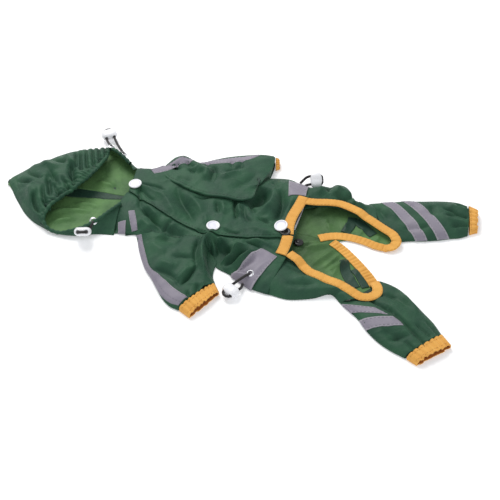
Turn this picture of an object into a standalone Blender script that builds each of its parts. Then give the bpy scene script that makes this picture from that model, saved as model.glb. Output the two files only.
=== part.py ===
import bpy
import bmesh
import math
import numpy as np

for old in list(bpy.data.objects):
    bpy.data.objects.remove(old, do_unlink=True)

# Dog rain suit lying on its back: hood toward -X, hind legs toward +X, the dog's right side toward -Y.
# All sizes are in millimetres and are turned into metres when a mesh is made.
METRE = 0.001
CLOTH = 1.0          # wall of one cloth layer
GAP = 0.35           # space kept at a seam or between layers
TAPE = 0.8           # reflective tape thickness
BINDING = 1.2        # bias binding thickness
BINDING_WIDTH = 10.0
FOLD = 2.6           # height of a folded side edge
SNAP_RADIUS = 6.2
SNAP_THICK = 1.7
EYELET_RADIUS = 3.6
EYELET_HOLE = 2.0
CORD = 2.0           # elastic cord diameter
LOCK = (8.5, 4.8, 6.2)   # half sizes of a cord lock: across its two holes, thickness, along the cord
LOCK_HOLE = 1.55
LOCK_PITCH = 4.4     # from the middle of a lock to each of its two holes

GREEN = (0.045, 0.105, 0.068, 1.0)
LIGHT_GREEN = (0.12, 0.26, 0.11, 1.0)
ORANGE = (0.80, 0.42, 0.11, 1.0)
GRAY = (0.33, 0.31, 0.36, 1.0)
WHITE = (0.86, 0.86, 0.88, 1.0)
BLACK = (0.012, 0.011, 0.012, 1.0)
SILVER = (0.75, 0.75, 0.77, 1.0)


def material(name, colour, rough, metal=0.0):
    mat = bpy.data.materials.new(name)
    mat.use_nodes = True
    shader = mat.node_tree.nodes["Principled BSDF"]
    shader.inputs["Base Color"].default_value = colour
    shader.inputs["Roughness"].default_value = rough
    shader.inputs["Metallic"].default_value = metal
    return mat


def addMesh(name, points, faces, colour, rough=0.6, metal=0.0):
    mesh = bpy.data.meshes.new(name)
    mesh.from_pydata([tuple(float(c) * METRE for c in p) for p in points], [], faces)
    mesh.materials.append(material(name, colour, rough, metal))
    work = bmesh.new()
    work.from_mesh(mesh)
    bmesh.ops.recalc_face_normals(work, faces=work.faces)
    work.to_mesh(mesh)
    work.free()
    obj = bpy.data.objects.new(name, mesh)
    bpy.context.scene.collection.objects.link(obj)
    return obj


# ---------------------------------------------------------------- curves and surfaces

def hermite(knots, rows, at):
    slope = np.gradient(rows, knots, axis=0) if len(rows) > 2 else np.repeat(np.diff(rows, axis=0) / knots[-1], 2, 0)
    k = np.clip(np.searchsorted(knots, at, side="right") - 1, 0, len(rows) - 2)
    step = knots[k + 1] - knots[k]
    s = ((at - knots[k]) / step)[:, None]
    step = step[:, None]
    return ((2 * s**3 - 3 * s**2 + 1) * rows[k] + (s**3 - 2 * s**2 + s) * step * slope[k]
            + (3 * s**2 - 2 * s**3) * rows[k + 1] + (s**3 - s**2) * step * slope[k + 1])


def route(*rows):
    """Smooth curve through the rows, as a function of 0 to 1 at even arc length."""
    rows = np.array([tuple(r) + (0.0,) * (3 - len(r)) for r in rows], float)
    knots = np.concatenate([[0.0], np.cumsum(np.linalg.norm(np.diff(rows, axis=0), axis=1))])
    fine = hermite(knots, rows, np.linspace(0.0, knots[-1], 400))
    length = np.concatenate([[0.0], np.cumsum(np.linalg.norm(np.diff(fine, axis=0), axis=1))])

    def at(t):
        t = np.asarray(t, float) * length[-1]
        return np.stack([np.interp(t, length, fine[:, i]) for i in range(3)], -1)
    at.length = length[-1]
    return at


def profile(*rows):
    """Smooth value table (position, value), read with interpolation."""
    rows = np.array(rows, float)

    def at(t):
        t = np.asarray(t, float)
        flat = hermite(rows[:, 0], rows[:, 1:], np.clip(t.ravel(), rows[0, 0], rows[-1, 0]))
        return flat[:, 0].reshape(t.shape)
    return at


def patch(railA, railB, rowStart, rowEnd):
    """Surface between two rails (u = 0 and 1) and two end rows (t = 0 and 1)."""
    def at(t, u):
        t, u = np.broadcast_arrays(np.asarray(t, float), np.asarray(u, float))
        flatT, flatU = t.ravel(), u.ravel()
        a, b = railA(flatT), railB(flatT)
        c, d = rowStart(flatU), rowEnd(flatU)
        s, v = flatT[:, None], flatU[:, None]
        a0, a1, b0, b1 = railA([0.0]), railA([1.0]), railB([0.0]), railB([1.0])
        p = ((1 - v) * a + v * b + (1 - s) * c + s * d
             - (1 - s) * (1 - v) * a0 - s * (1 - v) * a1 - (1 - s) * v * b0 - s * v * b1)
        return p.reshape(t.shape + (3,))
    return at


def gridFaces(n, m, base=0, flip=False):
    faces = []
    for i in range(n - 1):
        for j in range(m - 1):
            a = base + i * m + j
            quad = (a, a + 1, a + m + 1, a + m)
            faces.append(quad[::-1] if flip else quad)
    return faces


def shellFromGrids(name, upper, lower, colour, rough=0.6):
    """Closed wall between two point grids of one size."""
    n, m = upper.shape[:2]
    points = np.concatenate([upper.reshape(-1, 3), lower.reshape(-1, 3)])
    low = n * m
    faces = gridFaces(n, m) + gridFaces(n, m, low, True)
    ring = [j for j in range(m)] + [i * m + m - 1 for i in range(1, n)]
    ring += [(n - 1) * m + j for j in range(m - 2, -1, -1)] + [i * m for i in range(n - 2, 0, -1)]
    for k in range(len(ring)):
        a, b = ring[k], ring[(k + 1) % len(ring)]
        faces.append((a, low + a, low + b, b))
    return addMesh(name, points, faces, colour, rough)


def normals(grid):
    du = np.gradient(grid, axis=0)
    dv = np.gradient(grid, axis=1)
    n = np.cross(du, dv)
    n /= np.maximum(np.linalg.norm(n, axis=-1, keepdims=True), 1e-9)
    return n * np.where(n[..., 2:3] < 0, -1.0, 1.0)


def mesh2d(rows, columns):
    return np.meshgrid(np.linspace(0, 1, rows), np.linspace(0, 1, columns), indexing="ij")


laid = {}


def dense(grid, times=7):
    """Points of a coarse grid's own flat faces, close together."""
    n, m = grid.shape[:2]
    a = np.linspace(0, n - 1, (n - 1) * times + 1)
    b = np.linspace(0, m - 1, (m - 1) * times + 1)
    i = np.clip(a.astype(int), 0, n - 2)
    j = np.clip(b.astype(int), 0, m - 2)
    p, q = (a - i)[:, None, None], (b - j)[None, :, None]
    g = grid
    return ((1 - p) * (1 - q) * g[i][:, j] + p * (1 - q) * g[i + 1][:, j] + (1 - p) * q * g[i][:, j + 1]
            + p * q * g[i + 1][:, j + 1]).reshape(-1, 3)


def restOn(names, x, y, reach=2.2):
    """Height of the highest point of the named pieces close to x, y."""
    points = np.concatenate([laid[k] for k in names])
    x, y = np.asarray(x, float), np.asarray(y, float)
    out = np.empty(x.size)
    for k, (a, b) in enumerate(zip(x.ravel(), y.ravel())):
        d = (points[:, 0] - a) ** 2 + (points[:, 1] - b) ** 2
        hit = d < reach * reach
        out[k] = points[hit, 2].max() if hit.any() else points[d.argmin(), 2]
    return out.reshape(x.shape)


def panel(name, surface, height, rows, columns, colour, thick=CLOTH):
    """Cloth panel on a plan surface; height(x, y, t, u) is its top face."""
    t, u = mesh2d(rows, columns)
    top = surface(t, u)
    top[..., 2] = height(top[..., 0], top[..., 1], t, u)
    laid[name] = dense(top)
    low = top.copy()
    low[..., 2] -= thick
    return shellFromGrids(name, top, low, colour)


def plate(name, outline, colour, bottom=0.0, top=CLOTH):
    count = len(outline)
    points = [(x, y, bottom) for x, y in outline] + [(x, y, top) for x, y in outline]
    faces = [tuple(range(count))[::-1], tuple(range(count, 2 * count))]
    faces += [(i, (i + 1) % count, count + (i + 1) % count, count + i) for i in range(count)]
    return addMesh(name, points, faces, colour)


def tube(name, upper, lower, height, rows, columns, colour, floor=0.0, inset=1.1):
    """Flattened open tube: a crowned upper wall and a flat lower wall that share their two side folds."""
    across = 0.5 - 0.5 * np.cos(np.linspace(0, math.pi, columns))
    t, u = np.meshgrid(np.linspace(0, 1, rows), across, indexing="ij")

    def ring(shrink, raiseLow, dropUp):
        width = np.linalg.norm(upper(t[:, -1], u[:, -1]) - upper(t[:, 0], u[:, 0]), axis=-1)[:, None]
        edge = shrink / width
        v = edge + (1 - 2 * edge) * u
        top, low = upper(t, v), lower(t, v)
        top[..., 2] = height(t, u) - dropUp
        low[..., 2] = floor + raiseLow
        return np.concatenate([top, low[:, ::-1]], axis=1)
    outer, inner = ring(0.0, 0.0, 0.0), ring(inset, CLOTH, CLOTH)
    laid[name] = dense(outer[:, :columns])
    n, m = outer.shape[:2]
    points = np.concatenate([outer.reshape(-1, 3), inner.reshape(-1, 3)])
    faces = []
    for base, flip in ((0, False), (n * m, True)):
        for i in range(n - 1):
            for j in range(m):
                a, b = base + i * m + j, base + i * m + (j + 1) % m
                quad = (a, b, b + m, a + m)
                faces.append(quad[::-1] if flip else quad)
    for i in (0, n - 1):
        for j in range(m):
            a, b = i * m + j, i * m + (j + 1) % m
            faces.append((a, n * m + a, n * m + b, b))
    return addMesh(name, points, faces, colour)


def ribbon(name, path, count, width, thick, colour, lift=0.0, ripple=0.0, waves=0.0, taper=(0.0, 0.0)):
    """Flat strip whose middle follows a path; its gathers are waves across the strip."""
    t = np.linspace(0, 1, count)
    mid = path(t)
    along = np.gradient(mid, axis=0)
    side = np.stack([-along[:, 1], along[:, 0], np.zeros(count)], -1)
    side /= np.linalg.norm(side, axis=1, keepdims=True)
    half = 0.5 * width * (1 + ripple * 0.05 * np.sin(2 * math.pi * waves * t))
    if max(taper):
        half = half * np.minimum(1, np.minimum(taper[0] + t * 8, taper[1] + (1 - t) * 8))
    v = np.array([-1.0, 0.0, 1.0])
    top = mid[:, None, :] + side[:, None, :] * (half[:, None] * v[None, :])[..., None]
    wave = ripple * (0.5 + 0.5 * np.cos(2 * math.pi * waves * t))[:, None] * (1 - 0.35 * v**2)[None, :]
    low = top.copy()
    low[..., 2] += lift
    top[..., 2] += lift + thick + wave
    return shellFromGrids(name, top, low, colour)


def turned(name, rows, centre, axis, colour, rough=0.4, metal=0.0, sides=24):
    """Solid of revolution; rows are (radius, height) up the axis, closed at both ends or ring-shaped."""
    axis = np.array(axis, float) / np.linalg.norm(axis)
    helper = np.array([1.0, 0, 0]) if abs(axis[0]) < 0.8 else np.array([0, 1.0, 0])
    e1 = np.cross(axis, helper)
    e1 /= np.linalg.norm(e1)
    e2 = np.cross(axis, e1)
    solid = rows[0][0] == 0
    points, rings = [], []
    for radius, h in rows:
        if radius == 0:
            rings.append([len(points)])
            points.append(np.array(centre) + axis * h)
        else:
            rings.append(list(range(len(points), len(points) + sides)))
            for k in range(sides):
                a = 2 * math.pi * k / sides
                points.append(np.array(centre) + axis * h + radius * (math.cos(a) * e1 + math.sin(a) * e2))
    pairs = list(zip(rings[:-1], rings[1:])) + ([] if solid else [(rings[-1], rings[0])])
    faces = []
    for a, b in pairs:
        for k in range(sides):
            n = (k + 1) % sides
            if len(a) == 1:
                faces.append((a[0], b[k], b[n]))
            elif len(b) == 1:
                faces.append((a[k], b[0], a[n]))
            else:
                faces.append((a[k], b[k], b[n], a[n]))
    return addMesh(name, points, faces, colour, rough, metal)


# ---------------------------------------------------------------- body

# Sides of the body top: virtual fold lines and crown height along x.
bodyNear = profile((-135, 2), (-120, -13), (-104, -13), (-85, -30), (-60, -36), (-40, -33), (-25, -28.5), (-5, -38),
                   (15, -49.5), (40, -52))
bodyFar = profile((-140, 82), (-120, 86), (-104, 92), (-80, 100), (-50, 102), (-25, 98), (-10, 98), (10, 102),
                  (32, 96), (40, 97))
bodyHigh = profile((-140, 9.0), (-125, 10.5), (-100, 10.5), (-65, 11.0), (-37, 12.0), (-10, 11.0), (23, 10.5),
                   (40, 9.0))


def rise(d, reach=30.0):
    return 1 - (1 - np.clip(d / reach, 0, 1)) ** 2


def bodyTop(x, y):
    low = CLOTH + GAP + CLOTH + 0.15
    return low + (bodyHigh(x) - low) * rise(y - bodyNear(x)) * rise(bodyFar(x) - y)


armNear = route((-104.4, -10.3), (-91, -9.5), (-79, -8.5), (-65, -7.5), (-51, -7.5), (-40, -10.5), (-31.5, -18),
                (-25.1, -26.6))
armFar = route((-111, 74), (-90, 76), (-66, 79), (-45, 82), (-30, 86), (-20, 90))
placketEdge = route((-128.5, 36), (-100, 22), (-70, 7.5), (-37, -1), (-5, 4), (36, 14))

nearSide = route((-112.5, -10.8), (-104.4, -9.4), (-91, -8.6), (-79, -7.6), (-65, -6.6), (-51, -6.6), (-40, -9.4),
                 (-31, -16.8), (-24.5, -25.6), (-5.6, -36.3), (15, -46.7), (30.5, -49.2))
nearHidden = route((-126, 46), (-100, 36), (-70, 22), (-37, 13.5), (0, 19), (36, 29))
bellyNearPlan = patch(nearHidden, nearSide, route((-126, 46), (-122, 20), (-116, 0), (-112.5, -10.8)),
                      route((36, 29), (36.6, 0), (35.4, -14), (30.5, -49.2)))
farSide = route((-133, 71), (-111, 73), (-90, 75), (-66, 78), (-45, 81), (-30, 85), (-12, 95), (10, 99.3), (30, 93),
                (37, 95.5))
bellyFarPlan = patch(placketEdge, farSide, route((-128.5, 36), (-130, 52), (-133, 71)),
                     route((36, 14), (33, 36), (36, 70), (37, 95.5)))


placketY = profile((-128.5, 36), (-100, 22), (-70, 7.5), (-37, -1), (-5, 4), (36, 14))


def under(x, y, t, u):
    """The near half runs under the far half at the placket and rises to the body top beyond it."""
    q = np.clip((placketY(x) - y - 2.5) / 7.0, 0, 1)
    return bodyTop(x, y) - (CLOTH + GAP + 0.1) * (1 - q * q * (3 - 2 * q))


panel("belly_near", bellyNearPlan, under, 17, 9, GREEN)
panel("belly_far", bellyFarPlan, lambda x, y, t, u: bodyTop(x, y), 17, 9, GREEN)

backOutline = [(-114.3, -14), (-104.4, -9.8), (-85, -11.5), (-60, -17.5), (-40, -22), (-25.3, -26.0), (-16, -30.3),
               (-8.2, -34.6), (-1.5, -20), (4, 0), (9, 28), (11, 60), (9.5, 99), (-3, 96.5), (-8.2, 93),
               (-12.5, 90.6), (-19.6, 88.2), (-30, 84.8), (-45, 80.9), (-66, 78.0), (-90, 75.0), (-112, 72.9),
               (-124.8, 78.5), (-122.1, 55), (-119.1, 30), (-115.9, 5)]
plate("back_panel", backOutline, GREEN)

seatOutline = [(17.5, -48.4), (31, -49.5), (49, -50.5), (60, -47.6), (70.5, -42.4), (82.4, -34.6), (94, -43.2),
               (107, -27), (120.0, -9.4), (112.5, -2.5), (103.5, 6.5), (91.5, 17.5), (80.5, 26.5), (72.5, 31),
               (84, 34.8), (97.5, 33.3), (112, 30.2), (123, 29.5), (127.4, 46.4), (91.4, 87.3), (84, 85.6),
               (78, 87.5), (73.5, 87), (68.5, 96), (60, 101.5), (49, 99.8), (40, 98.2), (32.5, 94.6), (33.5, 60),
               (31.5, 28), (26.5, 0), (21, -24)]
plate("seat_panel", seatOutline, LIGHT_GREEN)

# ---------------------------------------------------------------- sleeves and hind legs


def crown(low, across, power):
    """Top height of a flattened tube: low at both folds, and the values of across in the middle."""
    return lambda t, u: low + (across(t) - low) * (4 * u * (1 - u)) ** power


sleeveNearFront = route((-104.4, -10.3), (-97, -24), (-88.8, -38.3), (-80.2, -51), (-72, -59.5), (-63.6, -69.8),
                        (-54.6, -80.3), (-46, -86.5), (-38, -88.5))
sleeveNearBack = route((-25.1, -26.6), (-24.6, -34), (-22.5, -42), (-17, -52.5))
sleeveNearTop = patch(sleeveNearFront, sleeveNearBack, armNear, route((-38, -88.5), (-27.6, -70.4), (-17, -52.5)))
sleeveNearLow = patch(sleeveNearFront, sleeveNearBack, route((-104.4, -10.3), (-65, -18), (-25.1, -26.6)),
                      route((-38, -88.5), (-27.6, -70.4), (-17, -52.5)))
sleeveNearHigh = crown(FOLD, profile((0, 11.5), (0.5, 11.0), (1, 9.0)), 0.55)
tube("sleeve_near", sleeveNearTop, sleeveNearLow, sleeveNearHigh, 9, 9, GREEN)

sleeveFarFront = route((-111, 74), (-108.5, 90), (-104, 101.5), (-98.5, 105.5), (-92, 103.5), (-85, 99), (-79, 99.8),
                       (-67.5, 107.6), (-56.8, 114.8), (-36, 124.6), (-25, 128.3), (-16, 129))
sleeveFarBack = route((-20, 90), (-13, 92), (-9.5, 96), (-8, 101))
sleeveFarEnd = route((-16, 129), (-10.5, 124), (-8, 112), (-8, 101))
sleeveFarTop = patch(sleeveFarFront, sleeveFarBack,
                     route((-111, 74), (-101, 64.5), (-88, 56.5), (-74, 51), (-58, 47), (-38, 47.5), (-20, 48.5),
                           (-13.5, 52), (-12.5, 66), (-14, 79), (-20, 90)), sleeveFarEnd)
sleeveFarLow = patch(sleeveFarFront, sleeveFarBack, armFar, sleeveFarEnd)
farHigh = profile((0, 14.8), (0.35, 15.5), (0.75, 11.5), (1, 8.0))


def sleeveFarHigh(t, u):
    flap = np.clip(1 - t * 2.6, 0, 1) ** 2
    edge = (4 * u * (1 - u)) ** (0.55 - 0.33 * flap)
    return FOLD + (farHigh(t) - FOLD) * edge


tube("sleeve_far", sleeveFarTop, sleeveFarLow, sleeveFarHigh, 11, 11, GREEN)

legNearOuter = route((94.8, -43.9), (105, -51.2), (113.9, -58.8), (121.9, -68), (133.5, -77.6), (145.4, -84),
                     (158, -88.5))
legNearInner = route((121.5, -9), (131, -11.2), (142, -17), (152.2, -26), (163.7, -36.3), (173.6, -45.5), (182.5, -57))
legNearEnd = route((158, -88.5), (171, -74), (182.5, -57))
legNearTop = patch(legNearOuter, legNearInner,
                   route((94.8, -43.9), (104, -41), (114, -39.5), (122, -34), (125.5, -24), (125, -15), (121.5, -9)),
                   legNearEnd)
legNearLow = patch(legNearOuter, legNearInner, route((94.8, -43.9), (107.5, -27), (121.5, -9)), legNearEnd)
legNearHigh = crown(FOLD, profile((0, 5.6), (0.3, 9.5), (1, 8.5)), 0.6)
tube("leg_near", legNearTop, legNearLow, legNearHigh, 9, 9, GREEN)

legFarOuter = route((92, 88), (99, 91), (111, 95.6), (124, 100.3), (135, 103.2), (149, 107.6), (163, 110.8),
                    (171, 111.2), (179, 109.3))
legFarInner = route((128, 47), (135, 50), (148, 53.9), (161, 58.8), (170.3, 63.5), (179, 67), (185.5, 72))
legFarEnd = route((179, 109.3), (182.9, 91), (185.5, 72))
legFarTop = patch(legFarOuter, legFarInner,
                  route((92, 88), (100, 74), (110, 62), (119, 56), (127, 51.5), (128, 47)), legFarEnd)
legFarLow = patch(legFarOuter, legFarInner, route((92, 88), (110, 67), (128, 47)), legFarEnd)
legFarHigh = crown(FOLD, profile((0, 5.6), (0.3, 9.2), (1, 8.5)), 0.6)
tube("leg_far", legFarTop, legFarLow, legFarHigh, 9, 9, GREEN)

# Hips: the cloth over each hip, from its side fold to the binding of the rear opening.
hipNearPlan = patch(route((31.6, -49.5), (49, -50.6), (59, -47.7), (70.5, -42.6), (82.4, -34.9), (93.9, -43.3)),
                    route((38, -2.5), (49, -9.5), (61, -17.7), (75, -22.2), (89, -25.8), (101, -31.0), (108, -34.5)),
                    route((31.6, -49.5), (36.2, -14), (38, -2.5)), route((93.9, -43.3), (103.3, -40.2), (108, -34.5)))
hipFarPlan = patch(route((38, 96.5), (44, 99), (49.3, 100), (57, 104), (63.5, 101.5), (69, 96.0), (73.4, 87.2),
                         (78, 88), (83.5, 86), (91.2, 87.4)),
                   route((37.6, 62.5), (46, 67), (57.6, 70), (65, 70.7), (79, 67.3), (97, 59.5), (106, 54)),
                   route((38, 96.5), (37.5, 80), (37.6, 62.5)), route((91.2, 87.4), (99.4, 73.6), (106, 54)))


def hipHigh(peak, inner):
    low = CLOTH + GAP + CLOTH + 0.15
    return lambda x, y, t, u: low + (inner - low) * (1 - (1 - u) ** 2) + 6.75 * peak * u * (1 - u) ** 2 * (1 - 0.35 * t)


panel("hip_near", hipNearPlan, hipHigh(5.0, 5.6), 9, 6, GREEN)
panel("hip_far", hipFarPlan, hipHigh(5.5, 5.6), 12, 6, GREEN)

# Elastic cuffs: short gathered tubes at the ends of the sleeves and legs.


def cuff(name, outer, inner, rise0, rise1, folds):
    start = route(outer[0], inner[0])
    end = route(outer[1], inner[1])
    plan = patch(route(*outer), route(*inner), start, end)
    tube(name, plan, plan,
         lambda t, u: 2.4 + (rise0 + (rise1 - rise0) * t) * (4 * u * (1 - u)) ** 0.6
         * (1 + 0.14 * np.cos(2 * math.pi * folds * u)), 2, 2 * folds + 1, ORANGE)


cuff("cuff_sleeve_near", ((-37.3, -89.2), (-26.5, -95.0)), ((-16.3, -53.0), (-10.2, -61.0)), 6.5, 5.5, 6)
cuff("cuff_sleeve_far", ((-8.9, 126.0), (-4.0, 122.5)), ((-6.9, 103.0), (-4.6, 103.0)), 4.5, 3.8, 5)
cuff("cuff_leg_near", ((159.2, -89.6), (168.6, -94.2)), ((183.6, -57.8), (192.0, -66.4)), 6.2, 5.2, 6)
cuff("cuff_leg_far", ((180.6, 108.4), (189.2, 105.8)), ((186.8, 73.0), (192.8, 77.6)), 6.2, 5.2, 6)

# ---------------------------------------------------------------- bindings of the rear opening and the hem


def sideways(mid):
    along = np.gradient(mid, axis=0)
    side = np.stack([-along[:, 1], along[:, 0], np.zeros(len(mid))], -1)
    return side / np.linalg.norm(side, axis=1, keepdims=True)


def strip(name, on, rows, count, thick, colour, across=3, lift=GAP, least=0.0):
    """Strip laid on pieces: rows are x, y and width; each of its points is a point of the pieces, moved up."""
    knots = [(r[0], r[1], r[2]) for r in rows]
    plan = route(*knots)(np.linspace(0, 1, count))
    width = plan[:, 2].copy()
    plan[:, 2] = 0
    v = np.linspace(-1, 1, across)
    low = plan[:, None, :] + sideways(plan)[:, None, :] * (0.5 * width[:, None] * v[None, :])[..., None]
    low[..., 2] = np.maximum(restOn(on, low[..., 0], low[..., 1]) + lift, least)
    top = low.copy()
    top[..., 2] += thick
    laid[name] = dense(top)
    return shellFromGrids(name, top, low, colour)


body = ["belly_near", "belly_far"]
strip("hem_far", body, ((31.5, 71, 10), (30.0, 58, 10), (28.0, 42, 10), (28.2, 30, 10), (30.5, 17.5, 10)), 8, BINDING,
      ORANGE)
strip("hem_near", ["belly_near"], ((31.4, 10.5, 10), (31.5, 4, 10), (31.2, -3, 10), (30.6, -8.6, 10)), 5, BINDING,
      ORANGE)


def bindingRun(name, on, rows, count, width, colour):
    """Binding along an edge; rows are x, y and least height, and it is never lower than the piece below it."""
    mid = route(*rows)(np.linspace(0, 1, count))
    v = np.array([-1.0, 0.0, 1.0])
    low = mid[:, None, :] + sideways(mid)[:, None, :] * (0.5 * width * v)[None, :, None]
    least = mid[:, 2]
    found = restOn(on, low[..., 0], low[..., 1], 3.0) + GAP
    far = np.array([[min(np.hypot(*(laid[k][:, :2] - p[:2]).T).min() for k in on) for p in row] for row in low])
    low[..., 2] = np.where(far < 3.0, np.maximum(found, least[:, None]), least[:, None])
    top = low.copy()
    top[..., 2] += BINDING
    laid[name] = dense(top)
    return shellFromGrids(name, top, low, colour)


bindingRun("edge_far", ["hip_far", "leg_far"],
           ((42.0, 66.3, 6.2), (46, 67.6, 6.2), (57.6, 71.8, 6.2), (65, 72.5, 6.2), (79, 69, 6.2), (97.8, 61, 6.2),
            (112.5, 53.2, 6.2), (121.5, 47.5, 6.2), (125.2, 41.5, 4.8), (122.5, 35.8, 3.0), (117, 33.8, 1.5)), 22, 9.0,
           ORANGE)
bindingRun("edge_near", ["hip_near", "leg_near"],
           ((41.2, -6.3, 6.2), (49, -11, 6.2), (61, -19.2, 6.2), (75, -23.7, 6.2), (88.8, -27.3, 6.2),
            (101, -32.4, 6.2), (110.5, -35.4, 6.2), (117.5, -33.0, 6.2), (121.3, -26.5, 5.2), (119.8, -19.0, 3.2),
            (116.2, -12.8, 1.5)), 22, 9.0, ORANGE)
gatherFar = route((114.2, 33.7), (108, 34.8), (97.4, 37.5), (83.2, 39.0), (69.8, 37.2), (61.3, 33.4), (56.5, 30.4))
gatherNear = route((114.0, -10.2), (110, -5.6), (101, 3.6), (88.4, 15.2), (77.4, 23.9), (69.5, 28.6))
ribbon("gather_far", gatherFar, 31, 9.5, 1.0, ORANGE, CLOTH + GAP, 1.2, 15, (1.0, 0.62))
ribbon("gather_near", gatherNear, 27, 9.0, 1.0, ORANGE, CLOTH + GAP, 1.2, 13, (1.0, 0.8))

# ---------------------------------------------------------------- hood


walls = {}


def wallPanel(name, table, rows, colour, columns=(3, 5), sag=1.6, leastRise=1.2):
    """Hood side: flat on the surface from the centre strip to its side fold, then up to the face opening.
    A row that would rise less than leastRise stays flat."""
    table = np.array(table, float)
    step = np.linalg.norm(np.diff(table[:, 2:4], axis=0), axis=1)
    knots = np.concatenate([[0.0], np.cumsum(step)])
    data = hermite(knots, table, np.linspace(0, knots[-1], rows))
    strip, edge, rim = data[:, 0:2], data[:, 2:4], data[:, 4:7]
    flat = np.linspace(0, 1, columns[0])
    rising = np.linspace(0, 1, columns[1])[1:]
    mid = np.zeros((rows, columns[0] + len(rising), 3))
    mid[:, :columns[0], :2] = strip[:, None] + (edge - strip)[:, None] * flat[None, :, None]
    mid[:, :columns[0], 2] = CLOTH / 2
    up = rising[None, :]
    height = (rim[:, 2] - CLOTH / 2)[:, None]
    height = np.where(height < leastRise, 0.0, height)
    out = edge - strip
    out /= np.linalg.norm(out, axis=1, keepdims=True)
    belly = np.sin(math.pi * up)[..., None] * out[:, None] * sag * np.clip(height / 6, 0, 1)[..., None]
    mid[:, columns[0]:, :2] = edge[:, None] + (rim[:, :2] - edge)[:, None] * up[..., None] + belly
    mid[:, columns[0]:, 2] = CLOTH / 2 + height * up ** 0.85
    du = np.gradient(mid, axis=0)
    dv = np.gradient(mid, axis=1)
    n = np.cross(du, dv)
    n /= np.linalg.norm(n, axis=-1, keepdims=True)
    if n[0, 0, 2] < 0:
        n = -n
    fold = columns[0] - 1
    level = height[:, 0] == 0
    n[:, :fold] = (0, 0, 1)
    halfway = n[:, fold + 1] + (0, 0, 1)
    n[:, fold] = halfway / np.linalg.norm(halfway, axis=1, keepdims=True)
    n[level] = (0, 0, 1)
    upper, lower = mid + n * CLOTH / 2, mid - n * CLOTH / 2
    lower[..., 2] = np.maximum(lower[..., 2], 0.0)
    shellFromGrids(name, upper, lower, colour)
    walls[name] = (mid[:, columns[0]:], n[:, columns[0]:])
    end = mid[:, -1] - mid[:, -2]
    return mid[:, -1], end / np.linalg.norm(end, axis=1, keepdims=True)


def onWall(name, x, y, z, off):
    """Point off the outside of a hood side next to x, y, z, and the way out."""
    mid, n = (a.reshape(-1, 3) for a in walls[name])
    weight = 1 / (np.sum((mid - (x, y, z)) ** 2, axis=1) + 0.5) ** 2
    way = (n * weight[:, None]).sum(0)
    way /= np.linalg.norm(way)
    if way[1] * (y - 30) < 0:
        way = -way
    base = (mid * weight[:, None]).sum(0) / weight.sum()
    return base + way * off, way


# strip x, y | side fold x, y | rim x, y, z
hoodNearTable = [
    (-247.0, 24.0, -245.5, 20.5, -245.2, 19.8, 0.5),
    (-240.0, 23.5, -237.0, 12.0, -236.6, 11.3, 0.5),
    (-225.0, 23.0, -226.0, -0.5, -226.0, -1.3, 0.5),
    (-208.0, 22.5, -212.0, -13.6, -212.0, -14.4, 0.5),
    (-195.0, 22.0, -200.0, -21.6, -200.0, -22.3, 0.5),
    (-183.0, 21.5, -187.0, -27.2, -187.0, -28.0, 0.6),
    (-170.0, 21.5, -174.0, -29.0, -174.0, -28.4, 5.0),
    (-158.0, 21.5, -162.0, -28.0, -162.0, -26.0, 8.0),
    (-147.0, 22.0, -148.0, -22.5, -146.0, -17.0, 10.5),
    (-136.0, 24.0, -136.0, -18.2, -135.5, 0.5, 11.5),
    (-127.0, 26.0, -124.6, -16.0, -129.0, 15.5, 11.0),
]
hoodFarTable = [
    (-247.0, 30.5, -245.0, 34.5, -244.6, 35.2, 0.5),
    (-240.0, 31.0, -240.5, 42.0, -240.5, 42.8, 0.5),
    (-226.0, 32.0, -229.0, 57.5, -229.0, 58.3, 0.5),
    (-210.0, 33.0, -213.5, 75.5, -213.5, 76.3, 0.5),
    (-195.0, 34.0, -196.0, 86.5, -196.0, 87.3, 0.5),
    (-182.0, 34.5, -183.0, 91.2, -183.0, 92.0, 0.6),
    (-171.0, 35.0, -172.5, 93.8, -172.5, 93.0, 5.0),
    (-161.0, 35.5, -163.0, 92.0, -163.5, 86.5, 12.5),
    (-150.0, 36.0, -151.0, 86.5, -150.0, 79.0, 12.0),
    (-140.0, 36.5, -142.0, 80.0, -140.5, 72.5, 10.5),
    (-131.5, 37.0, -133.5, 77.0, -134.5, 66.0, 9.0),
]
rimNear, outNear = wallPanel("hood_near", hoodNearTable, 18, GREEN)
rimFar, outFar = wallPanel("hood_far", hoodFarTable, 19, GREEN)

plate("hood_strip", [(-248.6, 24.6), (-240, 24.1), (-225, 23.6), (-208, 23.1), (-195, 22.6), (-183, 22.1),
                     (-170, 22.1), (-158, 22.1), (-147, 22.6), (-136, 24.6), (-127, 26.6), (-131, 36.4),
                     (-140, 35.9), (-150, 35.4), (-161, 34.9), (-171, 34.4), (-182, 33.9), (-195, 33.4),
                     (-210, 32.4), (-226, 31.4), (-240, 30.4), (-248.4, 29.9)], GREEN)

# Crown: the outer half of the hood, folded over the back of the head; fold x, y | rim x, y, z
crownTable = np.array([
    (-186.5, -26.0, -184.5, -22.5, 9.5),
    (-200.5, -20.6, -190.5, -16.0, 12.0),
    (-212.5, -12.5, -189.5, -8.0, 14.0),
    (-225.5, 0.5, -186.5, -1.0, 15.5),
    (-236.5, 13.0, -180.0, 9.0, 17.0),
    (-246.5, 27.5, -175.5, 19.5, 18.5),
    (-240.5, 41.5, -170.5, 30.5, 19.0),
    (-229.5, 56.5, -166.8, 41.0, 19.0),
    (-213.8, 74.5, -165.0, 55.0, 18.0),
    (-196.5, 85.8, -164.0, 69.0, 16.5),
    (-177.0, 91.6, -165.5, 82.5, 15.0),
])
crownKnots = np.concatenate([[0.0], np.cumsum(0.5 * np.linalg.norm(np.diff(crownTable[:, :2], axis=0), axis=1)
                                              + 0.5 * np.linalg.norm(np.diff(crownTable[:, 2:4], axis=0), axis=1))])
crownRows = hermite(crownKnots, crownTable, np.linspace(0, crownKnots[-1], 25))
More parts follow.
